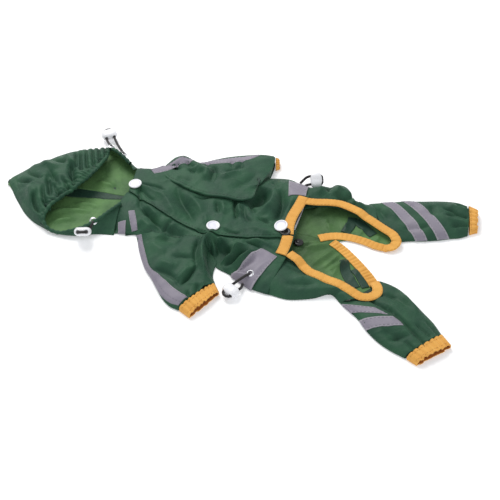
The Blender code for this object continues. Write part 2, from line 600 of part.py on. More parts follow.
across = np.linspace(0, 1, 7)[None, :]
crownMid = np.zeros((25, 7, 3))
crownMid[..., :2] = crownRows[:, None, :2] + (crownRows[:, None, 2:4] - crownRows[:, None, :2]) * across[..., None]
pleat = np.sin(np.linspace(0, 1, 25) * 2 * math.pi * 6)[:, None] * 0.8 * across ** 1.5
puff = 4.5 * np.clip(np.linalg.norm(crownRows[:, 2:4] - crownRows[:, :2], axis=1) / 50, 0, 1)[:, None]
crownLow = CLOTH + GAP + CLOTH / 2 + 0.25
crownMid[..., 2] = (crownLow + (crownRows[:, 4:5] - crownLow) * np.sin(across * math.pi / 2) ** 0.8
                    + puff * np.sin(across * math.pi) + pleat)
n = normals(crownMid)
shellFromGrids("hood_crown", crownMid + n * CLOTH / 2, crownMid - n * CLOTH / 2, GREEN)
rimCrown = crownMid[:, -1]
outCrown = crownMid[:, -1] - crownMid[:, -2]
outCrown /= np.linalg.norm(outCrown, axis=1, keepdims=True)


def sweep(name, mid, radius, colour, sides=6, rough=0.6):
    """Round bead along a line of points."""
    along = np.gradient(mid, axis=0)
    along /= np.linalg.norm(along, axis=1, keepdims=True)
    side = np.cross(along, [0, 0, 1.0])
    side /= np.linalg.norm(side, axis=1, keepdims=True)
    up = np.cross(side, along)
    a = 2 * math.pi * np.arange(sides) / sides
    points = (mid[:, None] + radius * (side[:, None] * np.cos(a)[None, :, None] + up[:, None] * np.sin(a)[None, :, None]))
    count = len(mid)
    faces = [(i * sides + k, i * sides + (k + 1) % sides, (i + 1) * sides + (k + 1) % sides, (i + 1) * sides + k)
             for i in range(count - 1) for k in range(sides)]
    faces += [tuple(range(sides))[::-1], tuple(range((count - 1) * sides, count * sides))]
    return addMesh(name, points.reshape(-1, 3), faces, colour, rough)


# Casing of the face opening: one bead that carries the elastic cord along the near side, the crown and the far side.
away = 1.5 + 1.25
near = (rimNear + outNear * (away + 0.6))[::-1]
near = near[(near[:, 0] > -180) & (near[:, 2] > 5.5)]
over = rimCrown + outCrown * away
far = rimFar + outFar * away
far = far[far[:, 0] > -168]
casingRoute = np.concatenate([near[::2], over[1:-1:2], far[::2]])
casing = route(*[tuple(p) for p in casingRoute])
sweep("face_casing", casing(np.linspace(0, 1, 48)), 1.5, GREEN)

# ---------------------------------------------------------------- reflective tapes


def wrapTape(name, on, nearTop, bottom, farTop, colour, thick=TAPE):
    """Tape round the folded body; rows are left x, y and right x, y, with a height or None where it is laid on."""
    rows = []
    for x0, y0, x1, y1, z in nearTop + bottom + farTop:
        ends = np.array([[x0, y0, 0.0], [0.5 * (x0 + x1), 0.5 * (y0 + y1), 0.0], [x1, y1, 0.0]])
        if z is None:
            ends[:, 2] = restOn(on, ends[:, 0], ends[:, 1]) + GAP + 0.95 + thick / 2
        else:
            ends[:, 2] = z
        rows.append(ends)
    mid = np.array(rows)
    n = np.cross(np.gradient(mid, axis=0), np.gradient(mid, axis=1))
    n /= np.linalg.norm(n, axis=-1, keepdims=True)
    a, b = mid + n * thick / 2, mid - n * thick / 2
    a[..., 2] = np.maximum(a[..., 2], 0.0)
    b[..., 2] = np.maximum(b[..., 2], 0.0)
    flip = n[1, 1, 2] < 0
    laid[name] = dense(b if flip else a)
    return shellFromGrids(name, a, b, colour)


flat = TAPE / 2
wrapTape("waist_tape", body + ["hip_near", "hip_far"],
         [(12.2, -6.5, 28.4, -12.4, None), (6.8, -15.5, 25.2, -22, None), (0.4, -27, 20.3, -35.5, None),
          (-3.2, -33.2, 17.5, -43.4, None), (-6.7, -38.3, 15.5, -49.4, 4.2), (-6.9, -38.9, 15.2, -50.2, 1.7)],
         [(-6.0, -36.6, 15.4, -47.6, flat), (-0.4, -20, 20.2, -24, flat), (4.9, 0, 25.4, 0, flat),
          (10.0, 28, 30.4, 28, flat), (12.1, 60, 32.3, 60, flat), (10.8, 92, 31.4, 88, flat),
          (10.5, 98.9, 31.2, 93.6, flat)],
         [(10.5, 101.2, 31.0, 96.4, 1.7), (10.6, 100.5, 31.0, 95.9, 4.3), (11.6, 93.5, 31.2, 90, None),
          (14.3, 82, 32.0, 82, None), (17, 70.5, 33, 74.0, None)], GRAY)

wrapTape("neck_tape", ["belly_near"],
         [(-124.9, -3.6, -118.6, -1.2, 6.6), (-122.9, -9.5, -115.9, -7.4, 4.9), (-121.9, -14.2, -114.4, -13.2, 3.0),
          (-121.8, -16.9, -114.4, -16.5, 1.6)],
         [(-122.2, -14.6, -115.0, -14.6, flat), (-124.0, 5, -116.6, 5, flat), (-127.2, 30, -119.8, 30, flat),
          (-130.9, 55, -122.8, 55, flat), (-132.2, 76, -125.3, 76, flat)],
         [(-132.2, 79.3, -125.6, 79.3, 1.5), (-132.3, 77.6, -125.8, 77.6, 3.2), (-132.6, 73.8, -126.4, 73.8, 4.6)],
         GRAY)

strip("shoulder_tape_near", ["belly_near"], ((-116.3, 10, 6.2), (-112.2, 2, 6.4), (-107.6, -7.0, 5.6)), 5, TAPE, GRAY)
strip("shoulder_tape_far", ["belly_far", "sleeve_far"],
      ((-115.2, 69.8, 8.0), (-107.1, 77.7, 8.5), (-99.5, 87.5, 8.5), (-91, 93.2, 6.5), (-84.5, 96.0, 3.0)), 9, TAPE,
      GRAY, lift=0.7)
strip("sleeve_tape_far", ["sleeve_far"],
      ((-80.5, 97.0, 2.5), (-72, 98.8, 5.5), (-60, 103.2, 8.5), (-47, 109.0, 9.5), (-36, 115.5, 8.0),
       (-25.5, 124.0, 2.0)), 9, TAPE, GRAY)


def foldTape(name, top, widths, count, colour):
    """Tape on the front fold of a sleeve: from the fold to a width that changes along the sleeve."""
    t = np.linspace(0.02, 0.985, count)[:, None] * np.ones((1, 3))
    u = 0.012 + (widths(t[:, :1]) - 0.012) * np.linspace(0, 1, 3)[None, :]
    low = top(t, u)
    low[..., 2] = restOn([name[0]], low[..., 0], low[..., 1], 2.0) + GAP
    upper = low.copy()
    upper[..., 2] += TAPE
    laid[name[1]] = dense(upper)
    return shellFromGrids(name[1], upper, low, colour)


foldTape(("sleeve_near", "sleeve_tape_near"), sleeveNearTop,
         profile((0, 0.05), (0.3, 0.045), (0.5, 0.05), (0.62, 0.11), (0.8, 0.21), (1, 0.28)), 11, GRAY)
strip("leg_tape_near_a", ["leg_near"], ((100.4, -46.3, 8.5), (112, -49.3, 7.5), (125, -51.6, 5.5), (136, -53.4, 2.0)),
      7, TAPE, GRAY)
strip("leg_tape_near_b", ["leg_near"], ((118.7, -62.3, 11), (130, -61.4, 10.5), (142, -60, 8.5), (152.5, -61, 3.0)),
      7, TAPE, GRAY)
strip("leg_tape_far_a", ["leg_far"], ((106.5, 90.6, 10), (116, 80.0, 10), (126, 67.5, 10), (142.3, 58.2, 10)), 8, TAPE,
      GRAY)
strip("leg_tape_far_b", ["leg_far"], ((124, 97.6, 10), (134, 86.0, 10), (144.2, 74.1, 10), (161.3, 65.6, 10)), 8, TAPE,
      GRAY)

# ---------------------------------------------------------------- snaps, eyelets, cord locks and cords


def disc(name, on, x, y, radius, thick, lift, colour, tilt=(0.0, 0.0), extra=0.0):
    """Round cap laid on pieces, tilted by the given slopes."""
    a = np.linspace(0, 2 * math.pi, 12, endpoint=False)
    ringX = np.concatenate([x + radius * np.cos(a), x + 0.55 * radius * np.cos(a), [x]])
    ringY = np.concatenate([y + radius * np.sin(a), y + 0.55 * radius * np.sin(a), [y]])
    heights = restOn(on, ringX, ringY, 1.8) - tilt[0] * (ringX - x) - tilt[1] * (ringY - y)
    z = heights.max() + lift + extra
    rows = [(0, 0), (radius * 0.93, 0), (radius, 0.3), (radius, thick * 0.6), (radius * 0.86, thick),
            (radius * 0.45, thick + 0.12), (0, thick + 0.15)]
    axis = (-tilt[0], -tilt[1], 1.0)
    turned(name, rows, (x, y, z), axis, colour, 0.3)
    return z


disc("snap_throat", body, -125.0, 44.6, SNAP_RADIUS, SNAP_THICK, GAP, WHITE, (0.10, 0.02))
disc("snap_belly", body, -37.0, 8.0, SNAP_RADIUS, SNAP_THICK, GAP, WHITE, (0.0, -0.02))
socketTop = disc("snap_hem_socket", body + ["hem_far"], 27.6, 18.6, 4.9, 1.3, GAP, BLACK, (-0.02, 0.05))
disc("snap_hem", body + ["hem_far"], 22.6, 22.8, SNAP_RADIUS, SNAP_THICK, GAP, WHITE, (0.16, 0.20), 1.9)
turned("snap_inner", [(0, 0), (3.9, 0), (4.3, 0.4), (4.3, 1.3), (3.6, 1.8), (2.2, 1.8), (2.0, 2.4), (0, 2.5)],
       (40.4, 18.2, CLOTH + GAP), (0, 0, 1), BLACK, 0.4)


def eyelet(name, centre, axis):
    rows = [(EYELET_HOLE, 0.0), (EYELET_RADIUS, 0.0), (EYELET_RADIUS, 0.5), (EYELET_RADIUS - 0.5, 1.0),
            (EYELET_HOLE + 0.3, 1.0), (EYELET_HOLE, 0.7)]
    turned(name, rows, centre, axis, SILVER, 0.25, 0.6, 20)
    return np.array(centre, float), np.array(axis, float) / np.linalg.norm(axis)


ringOff = CLOTH / 2 + GAP + 0.5
near = eyelet("eyelet_hood_near_a", *onWall("hood_near", -144.6, -21.0, 6.4, ringOff))
nearB = eyelet("eyelet_hood_near_b", *onWall("hood_near", -161.0, -28.5, 4.4, ringOff))
farA = eyelet("eyelet_hood_far_a", *onWall("hood_far", -164.4, 91.5, 8.0, ringOff))
farB = eyelet("eyelet_hood_far_b", *onWall("hood_far", -150.0, 84.0, 8.0, ringOff))
waistZ = float(restOn(["waist_tape"], 10.0, -33.5, 4.0)) + GAP
waist = eyelet("eyelet_waist_near", (10.0, -33.5, waistZ), (-0.1, -0.22, 1))


def lock(name, centre, axis, wide):
    """Bean-shaped cord lock with two holes along its axis."""
    centre = np.array(centre, float)
    axis = np.array(axis, float) / np.linalg.norm(axis)
    wide = np.array(wide, float) - axis * np.dot(wide, axis)
    wide /= np.linalg.norm(wide)
    thin = np.cross(axis, wide)
    rings, sides = 9, 20
    points, faces = [centre - axis * LOCK[2]], []
    for i in range(1, rings):
        b = -math.pi / 2 + math.pi * i / rings
        for k in range(sides):
            a = 2 * math.pi * k / sides
            c, s = math.cos(a), math.sin(a)
            r = math.cos(b) ** 0.62
            points.append(centre + axis * LOCK[2] * math.copysign(abs(math.sin(b)) ** 0.8, math.sin(b))
                          + wide * LOCK[0] * r * math.copysign(abs(c) ** 0.85, c)
                          + thin * LOCK[1] * r * math.copysign(abs(s) ** 0.85, s))
    points.append(centre + axis * LOCK[2])
    for k in range(sides):
        n = (k + 1) % sides
        faces.append((0, 1 + n, 1 + k))
        last = 1 + (rings - 2) * sides
        faces.append((last + k, last + n, len(points) - 1))
        for i in range(rings - 2):
            a = 1 + i * sides
            faces.append((a + k, a + n, a + sides + n, a + sides + k))
    body_ = addMesh(name, points, faces, WHITE, 0.3)
    for side in (-1, 1):
        cutter = turned(name + "_hole", [(0, -12), (LOCK_HOLE, -12), (LOCK_HOLE, 12), (0, 12)],
                        centre + wide * LOCK_PITCH * side, axis, WHITE, sides=12)
        cutter.hide_render = True
        cut = body_.modifiers.new("hole", "BOOLEAN")
        cut.operation = "DIFFERENCE"
        cut.solver = "EXACT"
        cut.object = cutter
    return centre, axis, wide


def cord(name, start, end, held, leadIn, leadOut):
    """Elastic cord from one eyelet through both holes of its lock and back."""
    centre, axis, wide = held
    a, b = centre + wide * LOCK_PITCH, centre - wide * LOCK_PITCH
    tip = centre + axis * (LOCK[2] + 2.6)
    reach = LOCK[2]
    rows = [start] + leadIn + [a - axis * (reach + 2), a - axis * reach, a, a + axis * reach, tip + wide * 2.0,
                               tip - wide * 2.0, b + axis * reach, b, b - axis * reach, b - axis * (reach + 2)]
    rows += leadOut + [end]
    path = route(*[tuple(r) for r in rows])
    count = int(path.length / (CORD * 1.1)) + 2
    points = path(np.linspace(0, 1, count))
    curve = bpy.data.curves.new(name, "CURVE")
    curve.dimensions = "3D"
    curve.bevel_depth = CORD / 2 * METRE
    curve.bevel_resolution = 2
    curve.use_fill_caps = True
    curve.materials.append(material(name, BLACK, 0.8))
    line = curve.splines.new("POLY")
    line.points.add(count - 1)
    for p, q in zip(line.points, points):
        p.co = (*(float(c) * METRE for c in q), 1.0)
    obj = bpy.data.objects.new(name, curve)
    bpy.context.scene.collection.objects.link(obj)
    return path.length


hoodFarLock = lock("lock_hood_far", (-173.5, 111.5, 5.2), (-0.62, 0.78, 0.05), (0.78, 0.62, 0.05))
hoodNearLock = lock("lock_hood_near", (-151.5, -37.5, 6.4), (-0.10, -0.95, 0.25), (1, -0.15, 0.1))
waistNearLock = lock("lock_waist_near", (-0.8, -60.5, 5.0), (-0.45, -0.89, 0.0), (0.9, -0.45, 0.05))
waistFarLock = lock("lock_waist_far", (37.8, 107.2, 5.2), (0.45, 0.89, 0.0), (-0.89, 0.45, 0.0))


def out(ring, distance):
    return ring[0] + ring[1] * distance


cordLengths = [
    cord("cord_hood_far", out(farB, 0.5), out(farA, 0.5), hoodFarLock, [out(farB, 4.5)], [out(farA, 4.0)]),
    cord("cord_hood_near", out(near, 0.5), out(nearB, 0.5), hoodNearLock, [out(near, 3.5)], [out(nearB, 3.5)]),
    cord("cord_waist_near", out(waist, 0.5), (0.5, -47.6, 2.2), waistNearLock,
         [out(waist, 2.6), np.array([7.4, -41.5, 9.2])], [np.array([-0.5, -49.5, 2.4])]),
    cord("cord_waist_far", (21.5, 100.1, 2.2), (28.6, 98.6, 2.2), waistFarLock,
         [np.array([22.7, 101.6, 2.3])], [np.array([29.2, 100.0, 2.4])]),
]

# ---------------------------------------------------------------- the frame: middle of the cloth's base at the origin

loose = {"cord_hood_far", "cord_hood_near", "cord_waist_near", "cord_waist_far",
         "lock_hood_far", "lock_hood_near", "lock_waist_near", "lock_waist_far"}
solid = [o for o in bpy.data.objects if o.type == "MESH" and not o.hide_render and o.name not in loose]
corners = np.array([[v.co[i] for i in range(3)] for o in solid for v in o.data.vertices])
low, high = corners.min(0), corners.max(0)
shift = np.array([(low[0] + high[0]) / 2, (low[1] + high[1]) / 2, low[2]])
for o in bpy.data.objects:
    if o.type == "MESH":
        for v in o.data.vertices:
            v.co = [v.co[i] - shift[i] for i in range(3)]
    else:
        for p in o.data.splines[0].points:
            p.co = (p.co[0] - shift[0], p.co[1] - shift[1], p.co[2] - shift[2], 1.0)
print("middle of the base in design millimetres", [round(float(c) * 1000, 4) for c in shift])
print("cord lengths in millimetres", [round(float(c), 2) for c in cordLengths])
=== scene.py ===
import math

import bpy
import numpy as np
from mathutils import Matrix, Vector


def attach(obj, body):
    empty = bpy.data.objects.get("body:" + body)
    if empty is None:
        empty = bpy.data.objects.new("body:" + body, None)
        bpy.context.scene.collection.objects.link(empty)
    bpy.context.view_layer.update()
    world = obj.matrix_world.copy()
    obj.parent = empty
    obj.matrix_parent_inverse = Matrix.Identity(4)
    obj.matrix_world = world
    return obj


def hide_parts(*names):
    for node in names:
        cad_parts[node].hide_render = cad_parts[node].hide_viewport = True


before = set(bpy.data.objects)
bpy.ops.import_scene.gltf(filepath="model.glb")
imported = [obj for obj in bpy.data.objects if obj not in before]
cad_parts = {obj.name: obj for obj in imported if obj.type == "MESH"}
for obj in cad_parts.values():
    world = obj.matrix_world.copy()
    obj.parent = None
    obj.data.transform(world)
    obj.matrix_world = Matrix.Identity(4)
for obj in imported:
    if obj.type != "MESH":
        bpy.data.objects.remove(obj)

# Dog rain suit on its back: hood toward -X, hind legs toward +X, the dog's right side toward -Y.
# Every table below is in millimetres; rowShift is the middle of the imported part's base in them.
mm = 0.001
rowShift = np.array((-27.9, 17.0, 0.0))
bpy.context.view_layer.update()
scene = bpy.context.scene

print("camera, floor and light")
view = {"azimuth": 16.0, "elevation": 44.0, "lens": 85.0, "mmPerPixel": 0.90, "pixels": 500,
        "target": (0.0, 0.0, 0.0)}


def toRow(points):
    return (np.asarray(points, float) - rowShift) * mm


def aimed(obj, place, target):
    # place and target in metres
    obj.location = Vector(place)
    obj.rotation_euler = (Vector(target) - Vector(place)).to_track_quat("-Z", "Y").to_euler()
    scene.collection.objects.link(obj)


def backVector(azimuth, elevation):
    a, e = math.radians(azimuth), math.radians(elevation)
    return np.array((math.sin(a) * math.cos(e), -math.cos(a) * math.cos(e), math.sin(e)))


cameraData = bpy.data.cameras.new("photo_camera")
cameraData.lens = view["lens"]
cameraData.clip_end = 20
camera = bpy.data.objects.new("photo_camera", cameraData)
distance = view["mmPerPixel"] * view["pixels"] / cameraData.sensor_width * view["lens"] * mm
centre = toRow(view["target"])
aimed(camera, centre + backVector(view["azimuth"], view["elevation"]) * distance, centre)
scene.camera = camera
scene.view_settings.view_transform = "Standard"

lights = {
    "key": {"place": (-0.75, 0.85, 1.25), "size": 0.9, "power": 21.0, "colour": (1.0, 0.98, 0.95)},
    "front": {"place": (0.35, -1.5, 0.95), "size": 1.3, "power": 5.0, "colour": (0.94, 0.97, 1.0)},
    "right": {"place": (1.5, 0.1, 0.8), "size": 0.9, "power": 3.0, "colour": (1.0, 1.0, 1.0)},
    "sky": 0.62,
}
for lightName in ("key", "front", "right"):
    row = lights[lightName]
    lamp = bpy.data.lights.new(lightName, "AREA")
    lamp.size = row["size"]
    lamp.energy = row["power"]
    lamp.color = row["colour"]
    aimed(bpy.data.objects.new(lightName, lamp), row["place"], (0, 0, 0))
world = bpy.data.worlds.new("studio")
world.use_nodes = True
world.node_tree.nodes["Background"].inputs[0].default_value = (0.96, 0.98, 1.0, 1)
world.node_tree.nodes["Background"].inputs[1].default_value = lights["sky"]
scene.world = world


# curves and surfaces

def hermite(knots, rows, at):
    # cubic between neighbouring rows, with slopes from the rows on both sides
    if len(rows) > 2:
        slope = np.gradient(rows, knots, axis=0)
    else:
        slope = np.repeat(np.diff(rows, axis=0) / knots[-1], 2, 0)
    k = np.clip(np.searchsorted(knots, at, side="right") - 1, 0, len(rows) - 2)
    step = knots[k + 1] - knots[k]
    s = ((at - knots[k]) / step)[:, None]
    step = step[:, None]
    return ((2 * s**3 - 3 * s**2 + 1) * rows[k] + (s**3 - 2 * s**2 + s) * step * slope[k]
            + (3 * s**2 - 2 * s**3) * rows[k + 1] + (s**3 - s**2) * step * slope[k + 1])


def route(*rows):
    # smooth curve through the rows, as a function of 0 to 1 at even arc length
    rows = np.array([tuple(r) + (0.0,) * (3 - len(r)) for r in rows], float)
    knots = np.concatenate([[0.0], np.cumsum(np.linalg.norm(np.diff(rows, axis=0), axis=1))])
    fine = hermite(knots, rows, np.linspace(0.0, knots[-1], 400))
    length = np.concatenate([[0.0], np.cumsum(np.linalg.norm(np.diff(fine, axis=0), axis=1))])

    def at(t):
        t = np.asarray(t, float) * length[-1]
        return np.stack([np.interp(t, length, fine[:, i]) for i in range(3)], -1)
    at.length = length[-1]
    return at


def profile(*rows):
    # smooth table of (position, value)
    rows = np.array(rows, float)

    def at(t):
        t = np.asarray(t, float)
        flat = hermite(rows[:, 0], rows[:, 1:], np.clip(t.ravel(), rows[0, 0], rows[-1, 0]))
        return flat[:, 0].reshape(t.shape)
    return at


def patch(railA, railB, rowStart, rowEnd):
    # Coons surface: the blend of two rails (u 0 and 1) plus the blend of two end rows (t 0 and 1), less the
    # share of the corners
    def at(t, u):
        t, u = np.broadcast_arrays(np.asarray(t, float), np.asarray(u, float))
        s, v = t.ravel()[:, None], u.ravel()[:, None]
        a, b, c, d = railA(t.ravel()), railB(t.ravel()), rowStart(u.ravel()), rowEnd(u.ravel())
        a0, a1, b0, b1 = railA([0.0]), railA([1.0]), railB([0.0]), railB([1.0])
        p = ((1 - v) * a + v * b + (1 - s) * c + s * d
             - (1 - s) * (1 - v) * a0 - s * (1 - v) * a1 - (1 - s) * v * b0 - s * v * b1)
        return p.reshape(t.shape + (3,))
    return at


def mesh2d(rows, columns):
    return np.meshgrid(np.linspace(0, 1, rows), np.linspace(0, 1, columns), indexing="ij")


def smooth(x):
    x = np.clip(x, 0, 1)
    return x * x * (3 - 2 * x)


def unit(way):
    return way / np.maximum(np.linalg.norm(way, axis=-1, keepdims=True), 1e-9)


def noise(x, y, size, seed):
    # random heights on a square lattice of that size, joined by smooth steps
    cells = 64
    table = np.random.default_rng(seed).uniform(-1, 1, (cells, cells))
    gx, gy = x / size, y / size
    i, j = np.floor(gx).astype(int), np.floor(gy).astype(int)
    fx, fy = smooth(gx - i), smooth(gy - j)
    iNext, jNext = (i + 1) % cells, (j + 1) % cells
    i, j = i % cells, j % cells
    a, b, c, d = table[i, j], table[iNext, j], table[i, jNext], table[iNext, jNext]
    return a + (b - a) * fx + (c - a) * fy + (a - b - c + d) * fx * fy


def crumple(x, y, size, seed, turn=0.6, stretch=2.0):
    # small wrinkles: noise folded at its zero line into sharp ridges, along a turned and wandering direction
    total = 0.0
    for k, share in enumerate((1.0, 0.5)):
        s = size / (1 + 0.8 * k)
        c, d = math.cos(turn + 1.1 * k), math.sin(turn + 1.1 * k)
        p, q = x * c + y * d, y * c - x * d
        q = q + 1.4 * s * noise(x, y, 2.6 * s, seed + 30 + k)
        n = noise(p / stretch, q, s, seed + k)
        total = total + share * (0.7 - 1.9 * np.abs(n)) * smooth(0.6 + noise(x, y, 2.2 * s, seed + 60 + k))
    return total + 0.6 * noise(x, y, 2.4 * size, seed + 90)


def foldSum(x, y, table):
    # a row holds height, width, lean, kept start, kept end, then its way over the cloth. It adds
    # height * end fade * exp(-(distance / width)^1.5), and lean makes one side steeper than the other
    total = np.zeros_like(x)
    for height, width, lean, keptStart, keptEnd, *way in table:
        line = route(*way)(np.linspace(0, 1, 26))[:, :2]
        reach = 3.0 * width * (1 + abs(lean)) + 1
        near = ((x > line[:, 0].min() - reach) & (x < line[:, 0].max() + reach)
                & (y > line[:, 1].min() - reach) & (y < line[:, 1].max() + reach))
        if not near.any():
            continue
        a, d = line[:-1], np.diff(line, axis=0)
        px, py = x[near][:, None] - a[None, :, 0], y[near][:, None] - a[None, :, 1]
        s = np.clip((px * d[:, 0] + py * d[:, 1]) / (d**2).sum(1), 0, 1)
        away = np.hypot(px - s * d[:, 0], py - s * d[:, 1])
        k = away.argmin(1)
        pick = np.arange(len(k))
        along = (k + s[pick, k]) / len(d)
        side = np.sign(d[k, 0] * py[pick, k] - d[k, 1] * px[pick, k])
        ends = (1 if keptStart else smooth(along / 0.35)) * (1 if keptEnd else smooth((1 - along) / 0.35))
        total[near] += height * ends * np.exp(-(away[pick, k] / (width * (1 + lean * side))) ** 1.5)
    return total


def turned(grid, side):
    # the same grid with the named edge as its first row
    grid = grid.swapaxes(0, 1) if side in ("left", "right") else grid
    return grid[::-1] if side in ("end", "right") else grid


def turnedBack(grid, side):
    grid = grid[::-1] if side in ("end", "right") else grid
    return grid.swapaxes(0, 1) if side in ("left", "right") else grid


def rolled(grid, side, drop, back=3.0, bulge=1.0):
    # carries one edge of a grid round a half circle of that drop and back underneath
    sheet = turned(grid, side)
    way = sheet[0] - sheet[2]
    way[:, 2] = 0
    way = unit(way)
    drop = np.broadcast_to(np.asarray(drop, float), way.shape[:1])
    rows = []
    for angle, inward in ((math.pi, back), (math.pi, back * 0.4), (2.5, 0), (1.9, 0), (1.3, 0), (0.7, 0)):
        row = sheet[0] + way * (0.5 * drop * math.sin(angle) * bulge - inward)[:, None]
        row[:, 2] -= 0.5 * drop * (1 - math.cos(angle))
        rows.append(row)
    return turnedBack(np.concatenate([np.array(rows), sheet]), side)


def tucked(grid, side, length, drop):
    # carries one edge of a grid straight on for that length, sinking by drop, to go under its neighbour
    sheet = turned(grid, side)
    way = sheet[0] - sheet[2]
    way[:, 2] = 0
    s = np.array((1.0, 0.66, 0.33))[:, None, None]
    rows = sheet[:1] + unit(way)[None] * length * s
    rows[..., 2] -= drop * smooth(1.4 * s[..., 0])
    return turnedBack(np.concatenate([rows, sheet]), side)


# finishes

def shaderNodes(name):
    mat = bpy.data.materials.new(name)
    mat.use_nodes = True
    return mat, mat.node_tree, mat.node_tree.nodes["Principled BSDF"]


def addNode(tree, kind, **values):
    node = tree.nodes.new(kind)
    for key, value in values.items():
        node.inputs[key].default_value = value
    return node


def plug(tree, value, socket):
    if isinstance(value, bpy.types.NodeSocket):
        tree.links.new(value, socket)
    else:
        socket.default_value = value


def mixColour(tree, factor, first, second, blend="MIX"):
    node = tree.nodes.new("ShaderNodeMix")
    node.data_type = "RGBA"
    node.blend_type = blend
    for value, socket in ((factor, node.inputs[0]), (first, node.inputs[6]), (second, node.inputs[7])):
        plug(tree, value, socket)
    return node.outputs[2]


def ramp(tree, source, low, high):
    # gray from the first value to the second between two positions
    node = tree.nodes.new("ShaderNodeValToRGB")
    tree.links.new(source, node.inputs[0])
    for stop, (position, value) in zip(node.color_ramp.elements, (low, high)):
        stop.position = position
        stop.color = (value, value, value, 1)
    return node.outputs[0]


def calculate(tree, operation, *values):
    node = tree.nodes.new("ShaderNodeMath")
    node.operation = operation
    for value, socket in zip(values, node.inputs):
        plug(tree, value, socket)
    return node.outputs[0]


def cloth(name, colour, deep, rough, sheen=0.05, thread=0.55, threadDepth=0.02, crinkle=0.22, crinkleSize=6.0,
          contrast=0.5, fade=None):
    # woven cloth in UV millimetres: crossed thread waves, crinkles, and a slow drift between two colours.
    # fade paints shade on it, darker towards low x: its first and last x in metres, and how dark it starts
    mat, tree, shader = shaderNodes(name)
    uv = tree.nodes.new("ShaderNodeUVMap")
    uv.uv_map = "cloth"
    slow = addNode(tree, "ShaderNodeTexNoise", Scale=0.035, Detail=3.0, Roughness=0.55)
    fine = addNode(tree, "ShaderNodeTexNoise", Scale=1.0 / crinkleSize, Detail=4.0, Roughness=0.6,
                   Distortion=0.8)
    fleck = addNode(tree, "ShaderNodeTexNoise", Scale=1.3, Detail=3.0)
    warp = addNode(tree, "ShaderNodeTexWave", Scale=0.5 / thread, Distortion=0.3)
    weft = addNode(tree, "ShaderNodeTexWave", Scale=0.5 / thread, Distortion=0.3)
    warp.bands_direction, weft.bands_direction = "X", "Y"
    for node in (slow, fine, fleck, warp, weft):
        tree.links.new(uv.outputs[0], node.inputs["Vector"])
    cross = calculate(tree, "MULTIPLY", warp.outputs["Fac"], weft.outputs["Fac"])
    base = mixColour(tree, ramp(tree, slow.outputs["Fac"], (0.34, 0.0), (0.66, 1.0)), deep, colour)
    base = mixColour(tree, contrast, base, ramp(tree, cross, (0.0, 0.80), (1.0, 1.10)), "MULTIPLY")
    base = mixColour(tree, contrast, base, ramp(tree, fleck.outputs["Fac"], (0.3, 0.86), (0.7, 1.12)),
                     "MULTIPLY")
    # painted shade: the colour is multiplied darker towards low x
    if fade:
        first, last, dark = fade
        place = tree.nodes.new("ShaderNodeSeparateXYZ")
        tree.links.new(tree.nodes.new("ShaderNodeTexCoord").outputs["Object"], place.inputs[0])
        along = calculate(tree, "MULTIPLY_ADD", place.outputs["X"], 1 / (last - first),
                          -first / (last - first))
        along = calculate(tree, "MULTIPLY_ADD", slow.outputs["Fac"], 0.9,
                          calculate(tree, "ADD", along, -0.45))
        base = mixColour(tree, 1.0, base, ramp(tree, along, (0.0, dark), (1.0, 1.0)), "MULTIPLY")
    tree.links.new(base, shader.inputs["Base Color"])
    tree.links.new(calculate(tree, "MULTIPLY_ADD", fine.outputs["Fac"], 0.2, rough - 0.1),
                   shader.inputs["Roughness"])
    crease = addNode(tree, "ShaderNodeBump", Strength=1.0, Distance=crinkle * mm)
    tree.links.new(fine.outputs["Fac"], crease.inputs["Height"])
    grain = addNode(tree, "ShaderNodeBump", Strength=1.0, Distance=threadDepth * mm)
    tree.links.new(cross, grain.inputs["Height"])
    tree.links.new(crease.outputs[0], grain.inputs["Normal"])
    tree.links.new(grain.outputs[0], shader.inputs["Normal"])
    shader.inputs["Sheen Weight"].default_value = sheen
    shader.inputs["Sheen Roughness"].default_value = 0.4
    shader.inputs["Specular IOR Level"].default_value = 0.24
    return mat


def moulded(name, colour, rough, metallic=0.0, mottle=0.05, grain=420.0, depth=0.03):
    # plastic or metal: nearly plain colour with fine mottling, faint waviness and uneven gloss
    mat, tree, shader = shaderNodes(name)
    place = tree.nodes.new("ShaderNodeTexCoord").outputs["Object"]
    spots = addNode(tree, "ShaderNodeTexNoise", Scale=grain, Detail=3.0)
    tree.links.new(place, spots.inputs["Vector"])
    shade = ramp(tree, spots.outputs["Fac"], (0.3, 1 - mottle), (0.7, 1.0))
    tree.links.new(mixColour(tree, 1.0, colour, shade, "MULTIPLY"), shader.inputs["Base Color"])
    bump = addNode(tree, "ShaderNodeBump", Strength=0.6, Distance=depth * mm)
    tree.links.new(spots.outputs["Fac"], bump.inputs["Height"])
    tree.links.new(bump.outputs[0], shader.inputs["Normal"])
    tree.links.new(calculate(tree, "MULTIPLY_ADD", spots.outputs["Fac"], 0.12, rough),
                   shader.inputs["Roughness"])
    shader.inputs["Metallic"].default_value = metallic
    return mat


